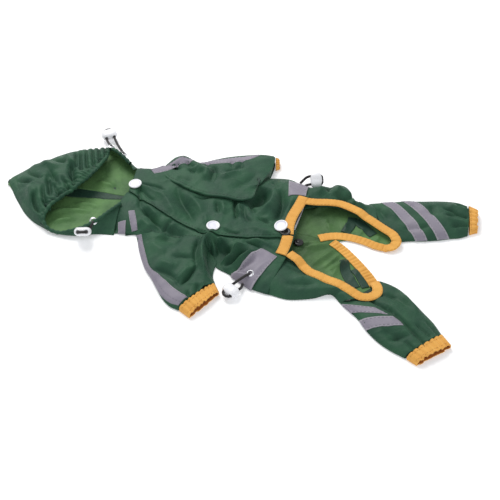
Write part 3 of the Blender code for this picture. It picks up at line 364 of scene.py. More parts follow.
woven = {"sheen": 0.12, "thread": 0.9, "threadDepth": 0.06, "crinkle": 0.12, "crinkleSize": 4.0}
backing = {"sheen": 0.06, "thread": 0.5, "threadDepth": 0.01, "crinkle": 0.10, "crinkleSize": 9.0,
           "contrast": 0.3}
spun = {"rough": 0.55, "mottle": 0.35, "grain": 1500.0, "depth": 0.05}
lightGreen = (0.118, 0.250, 0.084, 1)
finishes = {
    "green": cloth("green_nylon", (0.026, 0.095, 0.047, 1), (0.014, 0.057, 0.033, 1), 0.60, crinkle=0.55),
    "inside": cloth("light_green_inside", lightGreen, (0.060, 0.150, 0.050, 1), 0.58, crinkle=0.6),
    # painted shade: the seat's light green inside darkens towards low x, where the belly panel shades it
    "rear": cloth("rear_inside_painted_shade", lightGreen, (0.070, 0.170, 0.056, 1), 0.58, crinkle=0.6,
                  fade=(0.066, 0.126, 0.44)),
    # painted shade: a dark green standing in for shade on inner sides and on the dark bands inside the seat
    # and hood; the inside cloth itself is light green
    "shaded": cloth("painted_shade_dark_green", (0.020, 0.062, 0.038, 1), (0.013, 0.043, 0.028, 1), 0.52,
                    crinkle=0.5),
    "orange": cloth("orange_binding", (0.840, 0.440, 0.098, 1), (0.710, 0.340, 0.066, 1), 0.70, **woven),
    # painted shade: a darker copy of the binding's orange for the inside of the cuffs' turned-in mouths
    "orangeShade": cloth("orange_inside_painted_shade", (0.500, 0.160, 0.025, 1), (0.400, 0.115, 0.018, 1), 0.78,
                  **{**woven, "sheen": 0.10}),
    "gray": cloth("reflective_tape", (0.265, 0.245, 0.290, 1), (0.215, 0.195, 0.245, 1), 0.50, **backing),
    "grayEdge": cloth("tape_edge", (0.345, 0.325, 0.370, 1), (0.295, 0.275, 0.320, 1), 0.60,
                      **{**backing, "sheen": 0.10, "threadDepth": 0.02, "contrast": 0.5}),
    "thread": moulded("green_thread", (0.016, 0.045, 0.029, 1), **spun),
    "orangeThread": moulded("orange_thread", (0.560, 0.240, 0.045, 1), **spun),
    "grayThread": moulded("gray_thread", (0.180, 0.165, 0.200, 1), **spun),
    "white": moulded("white_plastic", (0.840, 0.840, 0.870, 1), 0.22),
    # painted shade: the dish inside the snap cap's rim is a darker, bluer white than the rim, for its recess
    "dishShade": moulded("snap_dish_painted_shade", (0.690, 0.680, 0.790, 1), 0.26),
    "black": moulded("black_plastic", (0.012, 0.011, 0.012, 1), 0.30, mottle=0.3),
    "silver": moulded("eyelet_metal", (0.800, 0.800, 0.830, 1), 0.20, metallic=0.85, mottle=0.12,
                      grain=900.0),
}


def braid(name, colour):
    # braided cord on Object coordinates: fine cells, each lighter in its middle and darker at its edge,
    # raised in its middle by a bump
    mat, tree, shader = shaderNodes(name)
    place = tree.nodes.new("ShaderNodeTexCoord").outputs["Object"]
    strands = addNode(tree, "ShaderNodeTexVoronoi", Scale=1500.0)
    tree.links.new(place, strands.inputs["Vector"])
    shade = ramp(tree, strands.outputs["Distance"], (0.0, 1.6), (0.7, 0.4))
    tree.links.new(mixColour(tree, 1.0, colour, shade, "MULTIPLY"), shader.inputs["Base Color"])
    bump = addNode(tree, "ShaderNodeBump", Strength=1.0, Distance=0.12 * mm)
    bump.invert = True
    tree.links.new(strands.outputs["Distance"], bump.inputs["Height"])
    tree.links.new(bump.outputs[0], shader.inputs["Normal"])
    shader.inputs["Roughness"].default_value = 0.72
    shader.inputs["Sheen Weight"].default_value = 0.15
    return mat


finishes["cord"] = braid("braided_cord", (0.014, 0.012, 0.013, 1))


# meshes

laid = {}


def addPiece(name, points, faces, mats, nodes, uv=None, wall=0.0, matIndex=None):
    # mesh from millimetre points; uv is one pair per face corner; wall is a thickness put on inward
    mesh = bpy.data.meshes.new(name)
    faces = np.asarray(faces, int)
    mesh.vertices.add(len(points))
    mesh.vertices.foreach_set("co", toRow(points).ravel())
    mesh.loops.add(faces.size)
    mesh.loops.foreach_set("vertex_index", faces.ravel())
    mesh.polygons.add(len(faces))
    mesh.polygons.foreach_set("loop_start", np.arange(0, faces.size, faces.shape[1]))
    mesh.polygons.foreach_set("use_smooth", np.ones(len(faces), bool))
    for key in mats:
        mesh.materials.append(finishes[key])
    if matIndex is not None:
        mesh.polygons.foreach_set("material_index", np.asarray(matIndex, np.int32))
    uv = np.asarray(points)[faces][..., :2] if uv is None else uv
    mesh.uv_layers.new(name="cloth").data.foreach_set("uv", np.asarray(uv, float).ravel())
    mesh.update(calc_edges=True)
    obj = bpy.data.objects.new(name, mesh)
    scene.collection.objects.link(obj)
    if wall:
        solid = obj.modifiers.new("wall", "SOLIDIFY")
        solid.thickness = wall * mm
        solid.offset = -1
        if matIndex is None and len(mats) > 1:
            solid.material_offset = 1
    if nodes:
        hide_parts(*nodes)
    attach(obj, "root")
    return obj


def gridCorners(n, m, wrap):
    i, j = np.meshgrid(np.arange(n - 1), np.arange(m if wrap else m - 1), indexing="ij")
    i, j = i.ravel(), j.ravel()
    a, b = i * m + j, i * m + (j + 1) % m
    return i, j, np.stack([a, b, b + m, a + m], -1)


def gridSheet(grid, out, wrap=False):
    # faces and UV millimetres of one grid; out points to its outer side, and a wrapped grid needs none
    n, m = grid.shape[:2]
    i, j, faces = gridCorners(n, m, wrap)
    ring = np.concatenate([grid, grid[:, :1]], 1) if wrap else grid
    u = np.concatenate([np.zeros((n, 1)), np.cumsum(np.linalg.norm(np.diff(ring, axis=1), axis=2), 1)], 1)
    u = u - u[:, [u.shape[1] // 2]]
    v = np.concatenate([[0.0], np.cumsum(np.linalg.norm(np.diff(grid, axis=0), axis=2).mean(1))])
    uv = np.stack([np.stack([u[i, j], v[i]], -1), np.stack([u[i, j + 1], v[i]], -1),
                   np.stack([u[i + 1, j + 1], v[i + 1]], -1), np.stack([u[i + 1, j], v[i + 1]], -1)], 1)
    p = grid.reshape(-1, 3)
    normal = np.cross(p[faces[:, 1]] - p[faces[:, 0]], p[faces[:, 3]] - p[faces[:, 0]])
    if wrap:
        flip = (normal * (p[faces[:, 0]] - grid.mean(1)[i])).sum() < 0
    else:
        flip = (normal @ np.array(out, float)).sum() < 0
    if flip:
        faces, uv = faces[:, ::-1], uv[:, ::-1]
    return p, faces, uv


def clothPiece(name, sheets, mats, nodes, wall=0.45, wrap=False, matIndex=None):
    # sheets is a list of (grid, outer direction), joined in one object
    points, faces, uv, base = [], [], [], 0
    for grid, out in sheets:
        p, f, w = gridSheet(grid, out, wrap)
        points.append(p)
        faces.append(f + base)
        uv.append(w)
        base += len(p)
    points, faces, uv = (np.concatenate(part) for part in (points, faces, uv))
    return addPiece(name, points, faces, mats, nodes, uv, wall, matIndex)


def greenCloth(node, sheets):
    # a green panel; its inner side takes the painted-shade dark green, though that side's cloth is the light
    # green of the inside
    clothPiece(node + "_cloth", sheets, ["green", "shaded"], [node])


def remember(name, grid):
    # keeps a top surface as a map of mean heights in square cells, with gaps filled from their neighbours
    cell = 1.5
    p = grid.reshape(-1, 3)
    i, j = np.floor(p[:, 0] / cell).astype(int), np.floor(p[:, 1] / cell).astype(int)
    low = np.array((i.min() - 3, j.min() - 3))
    shape = (i.max() - low[0] + 4, j.max() - low[1] + 4)
    total, count = np.zeros(shape), np.zeros(shape)
    np.add.at(total, (i - low[0], j - low[1]), p[:, 2])
    np.add.at(count, (i - low[0], j - low[1]), 1)
    height, known = total / np.maximum(count, 1), count > 0
    moves = ((1, 0), (-1, 0), (1, 1), (-1, 1))
    for _ in range(3):
        near = [(np.roll(height * known, by, axis), np.roll(known, by, axis)) for by, axis in moves]
        share = sum(k for _, k in near).astype(float)
        gap = ~known & (share > 0)
        height[gap] = (sum(h for h, _ in near) / np.maximum(share, 1))[gap]
        known = known | gap
    laid[name] = (height, known, low, cell)


def restOn(names, x, y):
    # height of the highest named surface at x, y, or a very low value where there is none
    best = np.full(np.shape(x), -1e3)
    for name in names:
        height, known, low, cell = laid[name]
        gx = np.clip(np.asarray(x) / cell - low[0] - 0.5, 0, height.shape[0] - 1.001)
        gy = np.clip(np.asarray(y) / cell - low[1] - 0.5, 0, height.shape[1] - 1.001)
        i, j = gx.astype(int), gy.astype(int)
        fx, fy = gx - i, gy - j
        total, weight = 0.0, 1e-9
        for di, dj in ((0, 0), (1, 0), (0, 1), (1, 1)):
            w = (fx if di else 1 - fx) * (fy if dj else 1 - fy) * known[i + di, j + dj]
            total = total + w * height[i + di, j + dj]
            weight = weight + w
        best = np.maximum(best, np.where(weight > 0.05, total / weight, -1e3))
    return best


def sideways(mid):
    along = np.gradient(mid, axis=0)
    return unit(np.stack([-along[:, 1], along[:, 0], np.zeros(len(mid))], -1))


def strip(name, on, rows, count, mats, nodes, across=9, lift=0.25, least=0.3, wall=0.35, edges=True,
          sag=0.5):
    # flat tape: rows are x, y, width; it lies at that lift over the surfaces below, and both its sides bend
    # down by sag
    plan = route(*rows)(np.linspace(0, 1, count))
    width = plan[:, 2].copy()
    plan[:, 2] = 0
    v = np.linspace(-1, 1, across)
    grid = plan[:, None] + sideways(plan)[:, None] * (0.5 * width[:, None] * v)[..., None]
    high = np.maximum(restOn(on, grid[..., 0], grid[..., 1]) + lift, least)
    grid[..., 2] = high - sag * smooth((abs(v) - 0.86) / 0.14)
    index = None
    if edges:
        j = gridCorners(count, across, False)[1]
        index = (abs(0.5 * (v[j] + v[j + 1])) > 0.8).astype(int)
    clothPiece(name, [(grid, (0, 0, 1))], mats, nodes, wall, False, index)
    return grid


stitchRows = {"thread": [], "orangeThread": [], "grayThread": []}


def stitch(kind, path, lift=0.05, length=2.2, gap=1.1, radius=0.17):
    # keeps a line of stitches for later: each is a small bead of that length, with its middle over the cloth
    step = np.concatenate([[0.0], np.cumsum(np.linalg.norm(np.diff(path, axis=0), axis=1))])
    count = int(step[-1] / (length + gap))
    if count < 1:
        return
    start = (np.arange(count) + 0.5) * (step[-1] / count)
    rows = start[:, None] + length * np.array((-0.5, -0.3, 0.3, 0.5))
    points = np.stack([np.interp(rows, step, path[:, k]) for k in range(3)], -1)
    points[..., 2] += lift
    stitchRows[kind].append((points, radius))


def line(grid, column, first=0, last=None):
    # a line at a fractional column of a grid, for stitches
    k = int(column)
    f = column - k
    return grid[first:last, k] * (1 - f) + grid[first:last, min(k + 1, grid.shape[1] - 1)] * f


def sewAll(name, kind):
    # every stitch is a four-sided bead on four rings: radius * (0.35, 1, 1, 0.35)
    points = np.concatenate([p for p, _ in stitchRows[kind]])
    radius = np.concatenate([np.full(len(p), r) for p, r in stitchRows[kind]])
    along = unit(points[:, 3] - points[:, 0])
    side = unit(np.cross(along, (0, 0, 1.0)))
    up = np.cross(side, along)
    size = radius[:, None] * np.array((0.35, 1.0, 1.0, 0.35))
    a = np.arange(4) * math.pi / 2 + math.pi / 4
    way = side[:, None] * np.cos(a)[:, None] + up[:, None] * np.sin(a)[:, None]
    rings = points[:, :, None] + size[:, :, None, None] * way[:, None]
    count = len(points)
    base = (np.arange(count) * 16)[:, None]
    k = np.arange(4)
    kNext = (k + 1) % 4
    wall = np.concatenate([np.stack([r * 4 + k, r * 4 + kNext, r * 4 + 4 + kNext, r * 4 + 4 + k], -1)
                           for r in range(3)])
    quads = np.concatenate([wall, [[3, 2, 1, 0], [12, 13, 14, 15]]])
    faces = (base[:, :, None] + quads[None]).reshape(-1, 4)
    return addPiece(name, rings.reshape(-1, 3), faces[:, ::-1], [kind], None)


print("cords")
lockSize = {"wide": 7.8, "thin": 4.4, "long": 5.6, "pitch": 3.9, "hole": 1.5}
cordWide = 2.5
cordBend = 2.0  # half the width of the cord's turn past the lock
cordLead = 0.8  # how far it runs on straight before the lock
# how far each cord's turn stands past the end of its lock
loops = {"hood_far": 1.5, "hood_near": 1.5, "waist_near": 1.7, "waist_far": 0.1}


def lockFrame(middle, along, wide):
    along = unit(np.array(along, float))
    wide = np.array(wide, float)
    return np.array(middle, float), along, unit(wide - along * np.dot(wide, along))


held = {
    "hood_far": lockFrame((-178.0, 114.0, 6.2), (-0.55, 0.83, 0.08), (0.83, 0.55, 0.05)),
    "hood_near": lockFrame((-148.6, -29.0, 10.4), (0.2, -0.75, 0.63), (0.95, 0.28, 0.03)),
    "waist_near": lockFrame((-0.6, -58.2, 5.0), (-0.45, -0.89, 0.0), (-0.9, 0.45, 0.05)),
    "waist_far": lockFrame((36.0, 102.5, 6.8), (0.95, 0.30, 0.05), (-0.25, 0.75, 0.6)),
}
# where each cord starts and ends, and the way it leaves there
cordEnds = {
    "hood_far": ((-151.2, 83.6, 11.6), [], [], (-165.8, 89.6, 12.6)),
    "hood_near": ((-144.6, -13.6, 10.4), [(-144.0, -16.6, 11.4), (-145.0, -20.4, 8.0)], [],
                  (-155.0, -23.6, 4.8)),
    "waist_near": ((10.6, -36.6, 7.0), [(9.8, -38.6, 9.2), (5.0, -44.0, 8.2)], [(6.6, -50.0, 3.0)],
                   (6.2, -45.6, 2.4)),
    "waist_far": ((21.6, 98.4, 2.6), [(23.2, 100.0, 4.4)], [(28.0, 96.6, 3.2)], (26.6, 95.4, 2.4)),
}


def cordPiece(key):
    # elastic cord from its first eyelet through one hole of its lock, past its end and back by the other hole
    middle, along, wide = held[key]
    start, leadIn, leadOut, end = cordEnds[key]
    leadIn, leadOut = np.array(leadIn), np.array(leadOut)
    a, b = middle + wide * lockSize["pitch"], middle - wide * lockSize["pitch"]
    reach = lockSize["long"]
    tip = middle + along * (reach + loops[key])
    rows = [start, *leadIn, a - along * (reach + cordLead), a - along * reach, a, a + along * reach,
            tip + wide * cordBend, tip - wide * cordBend,
            b + along * reach, b, b - along * reach, b - along * (reach + cordLead), *leadOut, end]
    path = route(*[tuple(r) for r in rows])
    count = int(path.length / (cordWide * 1.1)) + 2
    points = path(np.linspace(0, 1, count))
    curve = bpy.data.curves.new("cord_" + key + "_braid", "CURVE")
    curve.dimensions = "3D"
    curve.bevel_depth = 0.5 * cordWide * mm
    curve.bevel_resolution = 4
    curve.use_fill_caps = True
    curve.materials.append(finishes["cord"])
    spline = curve.splines.new("POLY")
    spline.points.add(count - 1)
    spline.points.foreach_set("co", np.concatenate([toRow(points), np.ones((count, 1))], 1).ravel())
    spline.use_smooth = True
    obj = bpy.data.objects.new("cord_" + key + "_braid", curve)
    scene.collection.objects.link(obj)
    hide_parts("cord_" + key)
    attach(obj, "root")
    return obj, toRow(points[0]), float(np.linalg.norm(np.diff(points, axis=0), axis=1).sum()) * mm


cordPieces = {key: cordPiece(key) for key in held}


print("body")
body = {"edge": 1.0, "reach": 30.0, "roughness": 0.65, "under": 0.4, "least": 1.25}
# how much deeper than drawn each part's creases are made
deeper = {"body": 2.3, "sleeve": 2.4, "leg": 2.1, "hip": 2.2, "seat": 1.9, "crown": 1.8, "wall": 2.4}
bodyNear = profile((-135, 2), (-120, -13), (-104, -13), (-85, -30), (-60, -36), (-40, -33), (-25, -28.5),
                   (-5, -38), (15, -49.5), (40, -52))
bodyFar = profile((-140, 82), (-120, 86), (-104, 92), (-80, 100), (-50, 102), (-25, 98), (-10, 98), (10, 102),
                  (32, 96), (40, 97))
bodyHigh = profile((-140, 9.0), (-125, 10.5), (-100, 10.5), (-65, 11.0), (-37, 12.0), (-10, 11.0), (23, 10.5),
                   (40, 9.0))
# height, width, lean, kept at start, kept at end, way
bellyFolds = [
    (-2.6, 2.2, 0.35, 0, 0, (-113, 20), (-101, 10), (-89, 1), (-81, -5)),
    (1.6, 4.0, 0.0, 0, 0, (-107, 4), (-97, -3), (-88, -8)),
    (1.3, 3.5, 0.0, 0, 0, (-108, 24), (-97, 14), (-86, 6)),
    (-1.5, 1.7, -0.3, 0, 0, (-82, -6), (-78, 2), (-75, 9)),
    (1.0, 3.2, 0.0, 0, 0, (-84, 12), (-78, 4), (-70, -4)),
    (-1.4, 1.8, 0.2, 1, 0, (-119, 38), (-114, 26), (-110, 14)),
    (-1.1, 1.6, 0.0, 1, 0, (-120, 42), (-108, 33), (-97, 27)),
    (-1.0, 1.8, 0.0, 1, 0, (-118, 48), (-104, 48), (-92, 44)),
    (0.9, 3.0, 0.0, 1, 0, (-118, 45), (-104, 40), (-90, 32)),
    (-2.6, 4.4, -0.2, 0, 0, (-90, 58), (-82, 45), (-74, 34), (-65, 24), (-57, 12), (-53, 4)),
    (1.8, 5.5, 0.0, 0, 0, (-104, 46), (-92, 34), (-80, 20), (-70, 8)),
    (1.6, 4.0, 0.2, 0, 0, (-76, 47), (-66, 38), (-57, 29), (-50, 17)),
    (-1.5, 1.5, 0.3, 0, 0, (-69, 42), (-58, 43), (-51, 47), (-46, 49)),
    (-1.8, 1.7, -0.25, 0, 0, (-45, 45), (-41, 36), (-37, 25)),
    (1.3, 2.6, 0.0, 0, 0, (-41, 46), (-36, 36), (-31, 24)),
    (-2.2, 1.6, 0.35, 1, 0, (-29, 50), (-26, 39), (-22, 29), (-20, 21)),
    (1.8, 2.2, 0.0, 0, 0, (-25, 48), (-22, 38), (-16, 27)),
    (-1.3, 1.8, 0.0, 0, 0, (-18, 46), (-16, 36), (-10, 27), (-2, 24)),
    (-1.5, 1.8, 0.0, 0, 0, (-14, 51), (-10, 42), (-4, 36)),
    (0.9, 2.2, 0.0, 0, 0, (-50, 24), (-46, 15), (-44, 6)),
    (-5.5, 7.5, 0.0, 0, 0, (-9, 76), (-7, 64), (-8, 52), (-6, 44)),
    (2.4, 4.2, -0.2, 0, 0, (-6, 36), (1, 45), (4, 58), (2, 71), (-1, 80)),
    (-3.6, 4.4, 0.25, 0, 0, (5, 84), (10, 73), (14, 60), (15, 46), (13, 34), (9, 27)),
    (-1.6, 1.9, 0.0, 0, 0, (-4, 31), (4, 31), (12, 27)),
    (1.5, 2.8, 0.0, 0, 0, (22, 72), (22, 60), (20, 46), (17, 36)),
    (-1.0, 2.0, 0.0, 0, 0, (-4, 88), (2, 82), (6, 76)),
    (-1.2, 2.2, 0.0, 0, 0, (26, 70), (24, 58), (25, 48)),
    (1.6, 5.0, 0.0, 0, 1, (-8, 17), (8, 15), (22, 13)),
    (-1.3, 1.6, 0.0, 0, 0, (-30, 9), (-20, 6), (-8, 7)),
    (-1.3, 1.7, 0.2, 0, 0, (-52, 2), (-45, -1), (-38, -3)),
    (-2.0, 1.5, 0.2, 0, 0, (-6, 0), (2, -2), (8, -4), (15, -7)),
    (1.4, 2.4, 0.0, 0, 0, (-4, 5), (8, 2), (20, -2), (28, -6)),
    (-2.2, 5.0, 0.0, 0, 0, (-100, -4), (-85, -4), (-60, -5), (-48, -4)),
    (4.0, 3.6, 0.15, 0, 0, (-26, 0), (-31, 1), (-36, -3), (-38.5, -10), (-38, -21), (-34, -33),
     (-29, -44), (-24, -57)),
    (-5.0, 3.0, -0.2, 0, 0, (-31, -3), (-34, -9), (-32, -18), (-27, -30), (-21.5, -42), (-17, -53)),
    (-2.0, 2.4, 0.2, 0, 0, (-42, -3), (-44, -12), (-43.5, -23), (-40, -34), (-35.5, -45)),
    (-2.4, 2.0, 0.3, 0, 0, (-33, -5), (-29, -9), (-25, -14), (-22, -20)),
    (-6.0, 6.0, 0.0, 1, 0, (-25, -27), (-22, -20), (-17, -14), (-11, -9)),
    (3.4, 3.2, 0.0, 0, 0, (-24, -30), (-14, -19), (-7, -10), (-1, -3)),
    (-3.2, 2.4, 0.3, 0, 0, (-19, -30), (-9, -23), (-1, -16), (6, -8)),
    (2.4, 3.0, 0.0, 0, 0, (-8, -29), (1, -19), (8, -9)),
    (-1.8, 2.2, 0.0, 0, 0, (-6, -36), (4, -27), (12, -16)),
    (2.2, 2.6, 0.0, 0, 0, (-29, -1), (-22, -7), (-15, -11), (-7, -14)),
    (-2.4, 1.6, -0.3, 0, 0, (-44, -70), (-40, -55), (-38, -46), (-35, -38)),
    (1.4, 3.0, 0.0, 0, 0, (-50, -68), (-45, -55), (-42, -44)),
    (-1.4, 2.6, 0.0, 0, 0, (-64, -37), (-50, -34), (-38, -33)),
    (-1.6, 2.0, 0.2, 0, 0, (-78, -54), (-66, -54), (-55, -58), (-46, -66), (-42, -73)),
    (1.2, 4.5, 0.0, 0, 0, (-74, -46), (-62, -47), (-52, -51)),
    (-2.6, 9.0, 0.0, 0, 0, (-82, -10), (-72, -14), (-58, -16)),
    (1.2, 5.0, 0.0, 0, 0, (-88, -22), (-76, -30), (-66, -36)),
    (-1.2, 1.6, 0.0, 0, 1, (-30, -60), (-28, -68), (-27, -74)),
    (-1.0, 1.5, 0.0, 0, 1, (-36, -70), (-33, -78), (-31, -84)),
    (0.9, 1.6, 0.0, 0, 1, (-26, -56), (-24, -62), (-22, -66)),
]


def rise(d):
    return 1 - (1 - np.clip(d / body["reach"], 0, 1)) ** 2


def bodyTop(x, y):
    # from both side folds it rises as a parabola to the crown height
    return body["edge"] + (bodyHigh(x) - body["edge"]) * rise(y - bodyNear(x) + 1) * rise(bodyFar(x) - y + 1)


def bellyHeight(x, y):
    calm = smooth((y - bodyNear(x)) / 8) * smooth((bodyFar(x) - y) / 8)
    return (bodyTop(x, y) + deeper["body"] * foldSum(x, y, bellyFolds) * (0.3 + 0.7 * calm)
            + body["roughness"] * crumple(x, y, 11, 3) * (0.4 + 0.6 * calm))


placket = ((-128.5, 36), (-100, 22), (-70, 7.5), (-37, -1), (-5, 4), (36, 14))
placketY = profile(*placket)
nearSide = route((-124.5, -13.6), (-113, -11.0), (-104.4, -9.8), (-91, -9.2), (-79, -8.2), (-65, -7.2),
                 (-51, -7.2), (-40, -10.0), (-31, -18.4), (-24.5, -28.6), (-5.6, -36.8), (15, -47.2),
                 (30.5, -49.6))
nearHidden = route((-126, 46), (-100, 36), (-70, 22), (-37, 13.5), (0, 19), (36, 29))
farSide = route((-133, 71), (-111, 74), (-90, 76), (-66, 79), (-45, 82), (-30, 86), (-12, 95.5), (10, 99.8),
                (30, 94), (37, 96))
bellyNearPlan = patch(nearHidden, nearSide, route((-126, 46), (-131, 20), (-129.5, 2), (-124.5, -13.6)),
                      route((36, 29), (36.6, 0), (35.4, -14), (30.5, -49.6)))
bellyFarPlan = patch(route(*placket), farSide, route((-128.5, 36), (-130, 52), (-133, 71)),
                     route((36, 14), (33, 36), (36, 70), (37, 96)))


def panelGrid(plan, rows, columns, height):
    grid = plan(*mesh2d(rows, columns))
    grid[..., 2] = np.maximum(height(grid[..., 0], grid[..., 1]), body["least"])
    return grid


def underlap(x, y):
    # the near half runs under the far half at the placket and comes up to the common height beyond it
    return bellyHeight(x, y) - 1.4 * (1 - smooth((placketY(x) - y - 0.6) / 3))


def overlap(x, y):
    return bellyHeight(x, y) + 0.3


near = panelGrid(bellyNearPlan, 150, 64, underlap)
remember("belly_near", near)
near = rolled(near, "right", near[:, -1, 2] - body["under"], back=2.0, bulge=0.7)
greenCloth("belly_near", [(near, (0, 0, 1))])
far = panelGrid(bellyFarPlan, 150, 88, overlap)
remember("belly_far", far)
stitch("thread", line(far, 2.2))
farDrop = far[:, -1, 2] - body["under"]
far = rolled(rolled(far, "left", 0.8, back=3.0, bulge=0.6), "right", farDrop, back=2.0, bulge=0.7)
greenCloth("belly_far", [(far, (0, 0, 1))])

backPlan = patch(route((-114.3, -14), (-104.4, -9.8), (-85, -11.5), (-60, -14.5), (-40, -14), (-25.3, -14),
                       (-8.2, -30)),
                 route((-124.8, 78.5), (-112, 72.9), (-90, 75), (-66, 78), (-45, 80.9), (-30, 84.8),
                       (-12.5, 90.6), (9.5, 99)),
                 route((-114.3, -14), (-119.1, 30), (-124.8, 78.5)), route((-8.2, -30), (9, 28), (9.5, 99)))
back = backPlan(*mesh2d(60, 50))
back[..., 2] = 0.62 + 0.05 * crumple(back[..., 0], back[..., 1], 16, 9)
greenCloth("back_panel", [(back, (0, 0, -1))])

print("sleeves and legs")
tube = {"floor": 0.35, "fold": 2.4, "least": 1.9, "lower": 0.1}


def limb(name, topPlan, lowPlan, height, rows, columns, tuck=True):
    # flattened tube: its upper wall rolls down at both side folds to a level lower wall. Its first edge is
    # tucked under its neighbour, or else rolled over
    across = 0.5 - 0.5 * np.cos(np.linspace(0, math.pi, columns))
    t, u = np.meshgrid(np.linspace(0, 1, rows), across, indexing="ij")
    top = topPlan(t, u)
    top[..., 2] = np.maximum(height(top[..., 0], top[..., 1], t, u), tube["least"])
    remember(name, top)
    if tuck:
        whole = tucked(top, "start", 3.0, 1.0)
    else:
        whole = rolled(top, "start", np.minimum(2.6, top[0, :, 2] - 0.5), back=5.0, bulge=0.8)
    for side, column in (("left", 0), ("right", -1)):
        whole = rolled(whole, side, whole[:, column, 2] - tube["floor"], back=1.0, bulge=0.8)
    low = lowPlan(*mesh2d(rows // 3, columns // 3))
    low[..., 2] = tube["floor"] + tube["lower"]
    greenCloth(name, [(whole, (0, 0, 1)), (low, (0, 0, -1))])
    return top


def crowned(t, u, across, power):
    # section across a tube: a rounded arch from one side fold to the other, as high as across says at t
    return tube["fold"] + (across(t) - tube["fold"]) * (4 * u * (1 - u)) ** power


def calmFolds(u, least, reach):
    # how strong creases are across a tube: only least of them at its side folds
    return least + (1 - least) * smooth(u / reach) * smooth((1 - u) / reach)


armNear = route((-104.4, -10.3), (-91, -9.5), (-79, -8.5), (-65, -7.5), (-51, -7.5), (-40, -10.5),
                (-31.5, -17), (-23.4, -26.0))
armFar = route((-111, 74), (-90, 76), (-66, 79), (-45, 82), (-30, 86), (-20, 90))
sleeveNearFront = route((-104.4, -10.3), (-97, -24), (-88.8, -38.3), (-80.2, -51), (-72, -59.5),
                        (-63.6, -69.8), (-54.6, -80.3), (-46, -86.5), (-38, -88.5))
sleeveNearBack = route((-23.4, -26.0), (-23.6, -34), (-22.5, -42), (-17, -52.5))
sleeveNearEnd = route((-38, -88.5), (-27.6, -70.4), (-17, -52.5))
sleeveNearTop = patch(sleeveNearFront, sleeveNearBack, armNear, sleeveNearEnd)
sleeveNearLow = patch(sleeveNearFront, sleeveNearBack, route((-104.4, -10.3), (-65, -18), (-23.4, -26.0)),
                      sleeveNearEnd)
nearCrown = profile((0, 11.5), (0.5, 11.0), (1, 9.0))


def sleeveNearHeight(x, y, t, u):
    q = smooth(t / 0.22)
    shape = (1 - q) * (bodyTop(x, y) - 0.2) + q * crowned(t, u, nearCrown, 0.55)
    wrinkle = deeper["body"] * foldSum(x, y, bellyFolds) + body["roughness"] * crumple(x, y, 11, 3)
    return shape + calmFolds(u, 0.25, 0.10) * wrinkle


limb("sleeve_near", sleeveNearTop, sleeveNearLow, sleeveNearHeight, 96, 84)

sleeveFarFront = route((-111, 74), (-108.5, 90), (-104, 101.5), (-98.5, 105.5), (-92, 103.5), (-85, 99),
                       (-79, 99.8), (-67.5, 107.6), (-56.8, 114.8), (-36, 124.6), (-25, 128.3), (-16, 129))
sleeveFarBack = route((-20, 90), (-13, 92), (-9.5, 96), (-8, 101))
sleeveFarEnd = route((-16, 129), (-10.5, 124), (-8, 112), (-8, 101))
sleeveFarTop = patch(sleeveFarFront, sleeveFarBack,
                     route((-111, 74), (-101, 64.5), (-88, 56.5), (-74, 51), (-58, 47), (-38, 47.5),
                           (-20, 48.5), (-13.5, 52), (-12.5, 66), (-14, 79), (-20, 90)), sleeveFarEnd)
sleeveFarLow = patch(sleeveFarFront, sleeveFarBack, armFar, sleeveFarEnd)
farCrown = profile((0, 14.0), (0.35, 15.0), (0.75, 11.5), (1, 8.0))
farFolds = [
    (-2.6, 2.2, 0.2, 0, 0, (-68.5, 93), (-62, 89), (-58, 80), (-57.5, 71), (-57, 61)),
    (1.8, 3.4, 0.0, 0, 0, (-64, 84), (-64, 74), (-63, 64)),
    (1.4, 3.6, 0.0, 0, 0, (-51, 68), (-44, 78), (-35, 92)),
    (-1.6, 3.2, 0.0, 0, 0, (-50, 80), (-42, 88), (-36, 100)),
    (-1.9, 1.9, 0.0, 0, 0, (-84, 79), (-80, 77), (-74, 72)),
    (2.2, 4.4, 0.0, 0, 0, (-77, 86), (-72, 80), (-67, 74)),
    (-1.8, 2.6, 0.0, 0, 0, (-90, 92), (-84, 86), (-79, 82)),
    (-1.1, 1.6, 0.0, 1, 0, (-70, 96), (-68, 90), (-68, 85)),
    (-1.2, 1.6, 0.0, 1, 0, (-47, 104), (-46, 97), (-43, 90)),
    (-1.0, 1.5, 0.0, 1, 0, (-38, 106), (-37, 99), (-33, 92)),
    (-1.4, 4.5, 0.0, 0, 0, (-40, 58), (-30, 66), (-22, 80), (-18, 96)),
    (1.0, 5.0, 0.0, 0, 0, (-30, 54), (-22, 62), (-17, 74)),
    (-1.0, 3.5, 0.0, 0, 0, (-92, 64), (-82, 62), (-72, 60)),
    (1.6, 4.0, 0.0, 0, 0, (-98, 82), (-96, 92), (-92, 100)),
    (-1.8, 2.0, 0.0, 0, 0, (-103, 84), (-97, 80), (-90, 78)),
]


def sleeveFarHeight(x, y, t, u):
    flap = np.clip(1 - t * 2.6, 0, 1) ** 2
    high = crowned(t, u, farCrown, 0.55 - 0.33 * flap)
    edge = bodyTop(x, y) + 0.4 + 3.0 * smooth((x + 98) / 16) + 1.5 * smooth((x + 24) / 8)
    q = smooth(t / 0.25)
    wrinkle = deeper["sleeve"] * foldSum(x, y, farFolds) + 0.6 * crumple(x, y, 12, 21, 0.9)
    return (1 - q) * np.where(y > 84, high, edge) + q * high + calmFolds(u, 0.25, 0.08) * wrinkle


sleeveFar = limb("sleeve_far", sleeveFarTop, sleeveFarLow, sleeveFarHeight, 90, 104, tuck=False)
stitch("thread", line(sleeveFar.swapaxes(0, 1), 1.6, 12, 74))

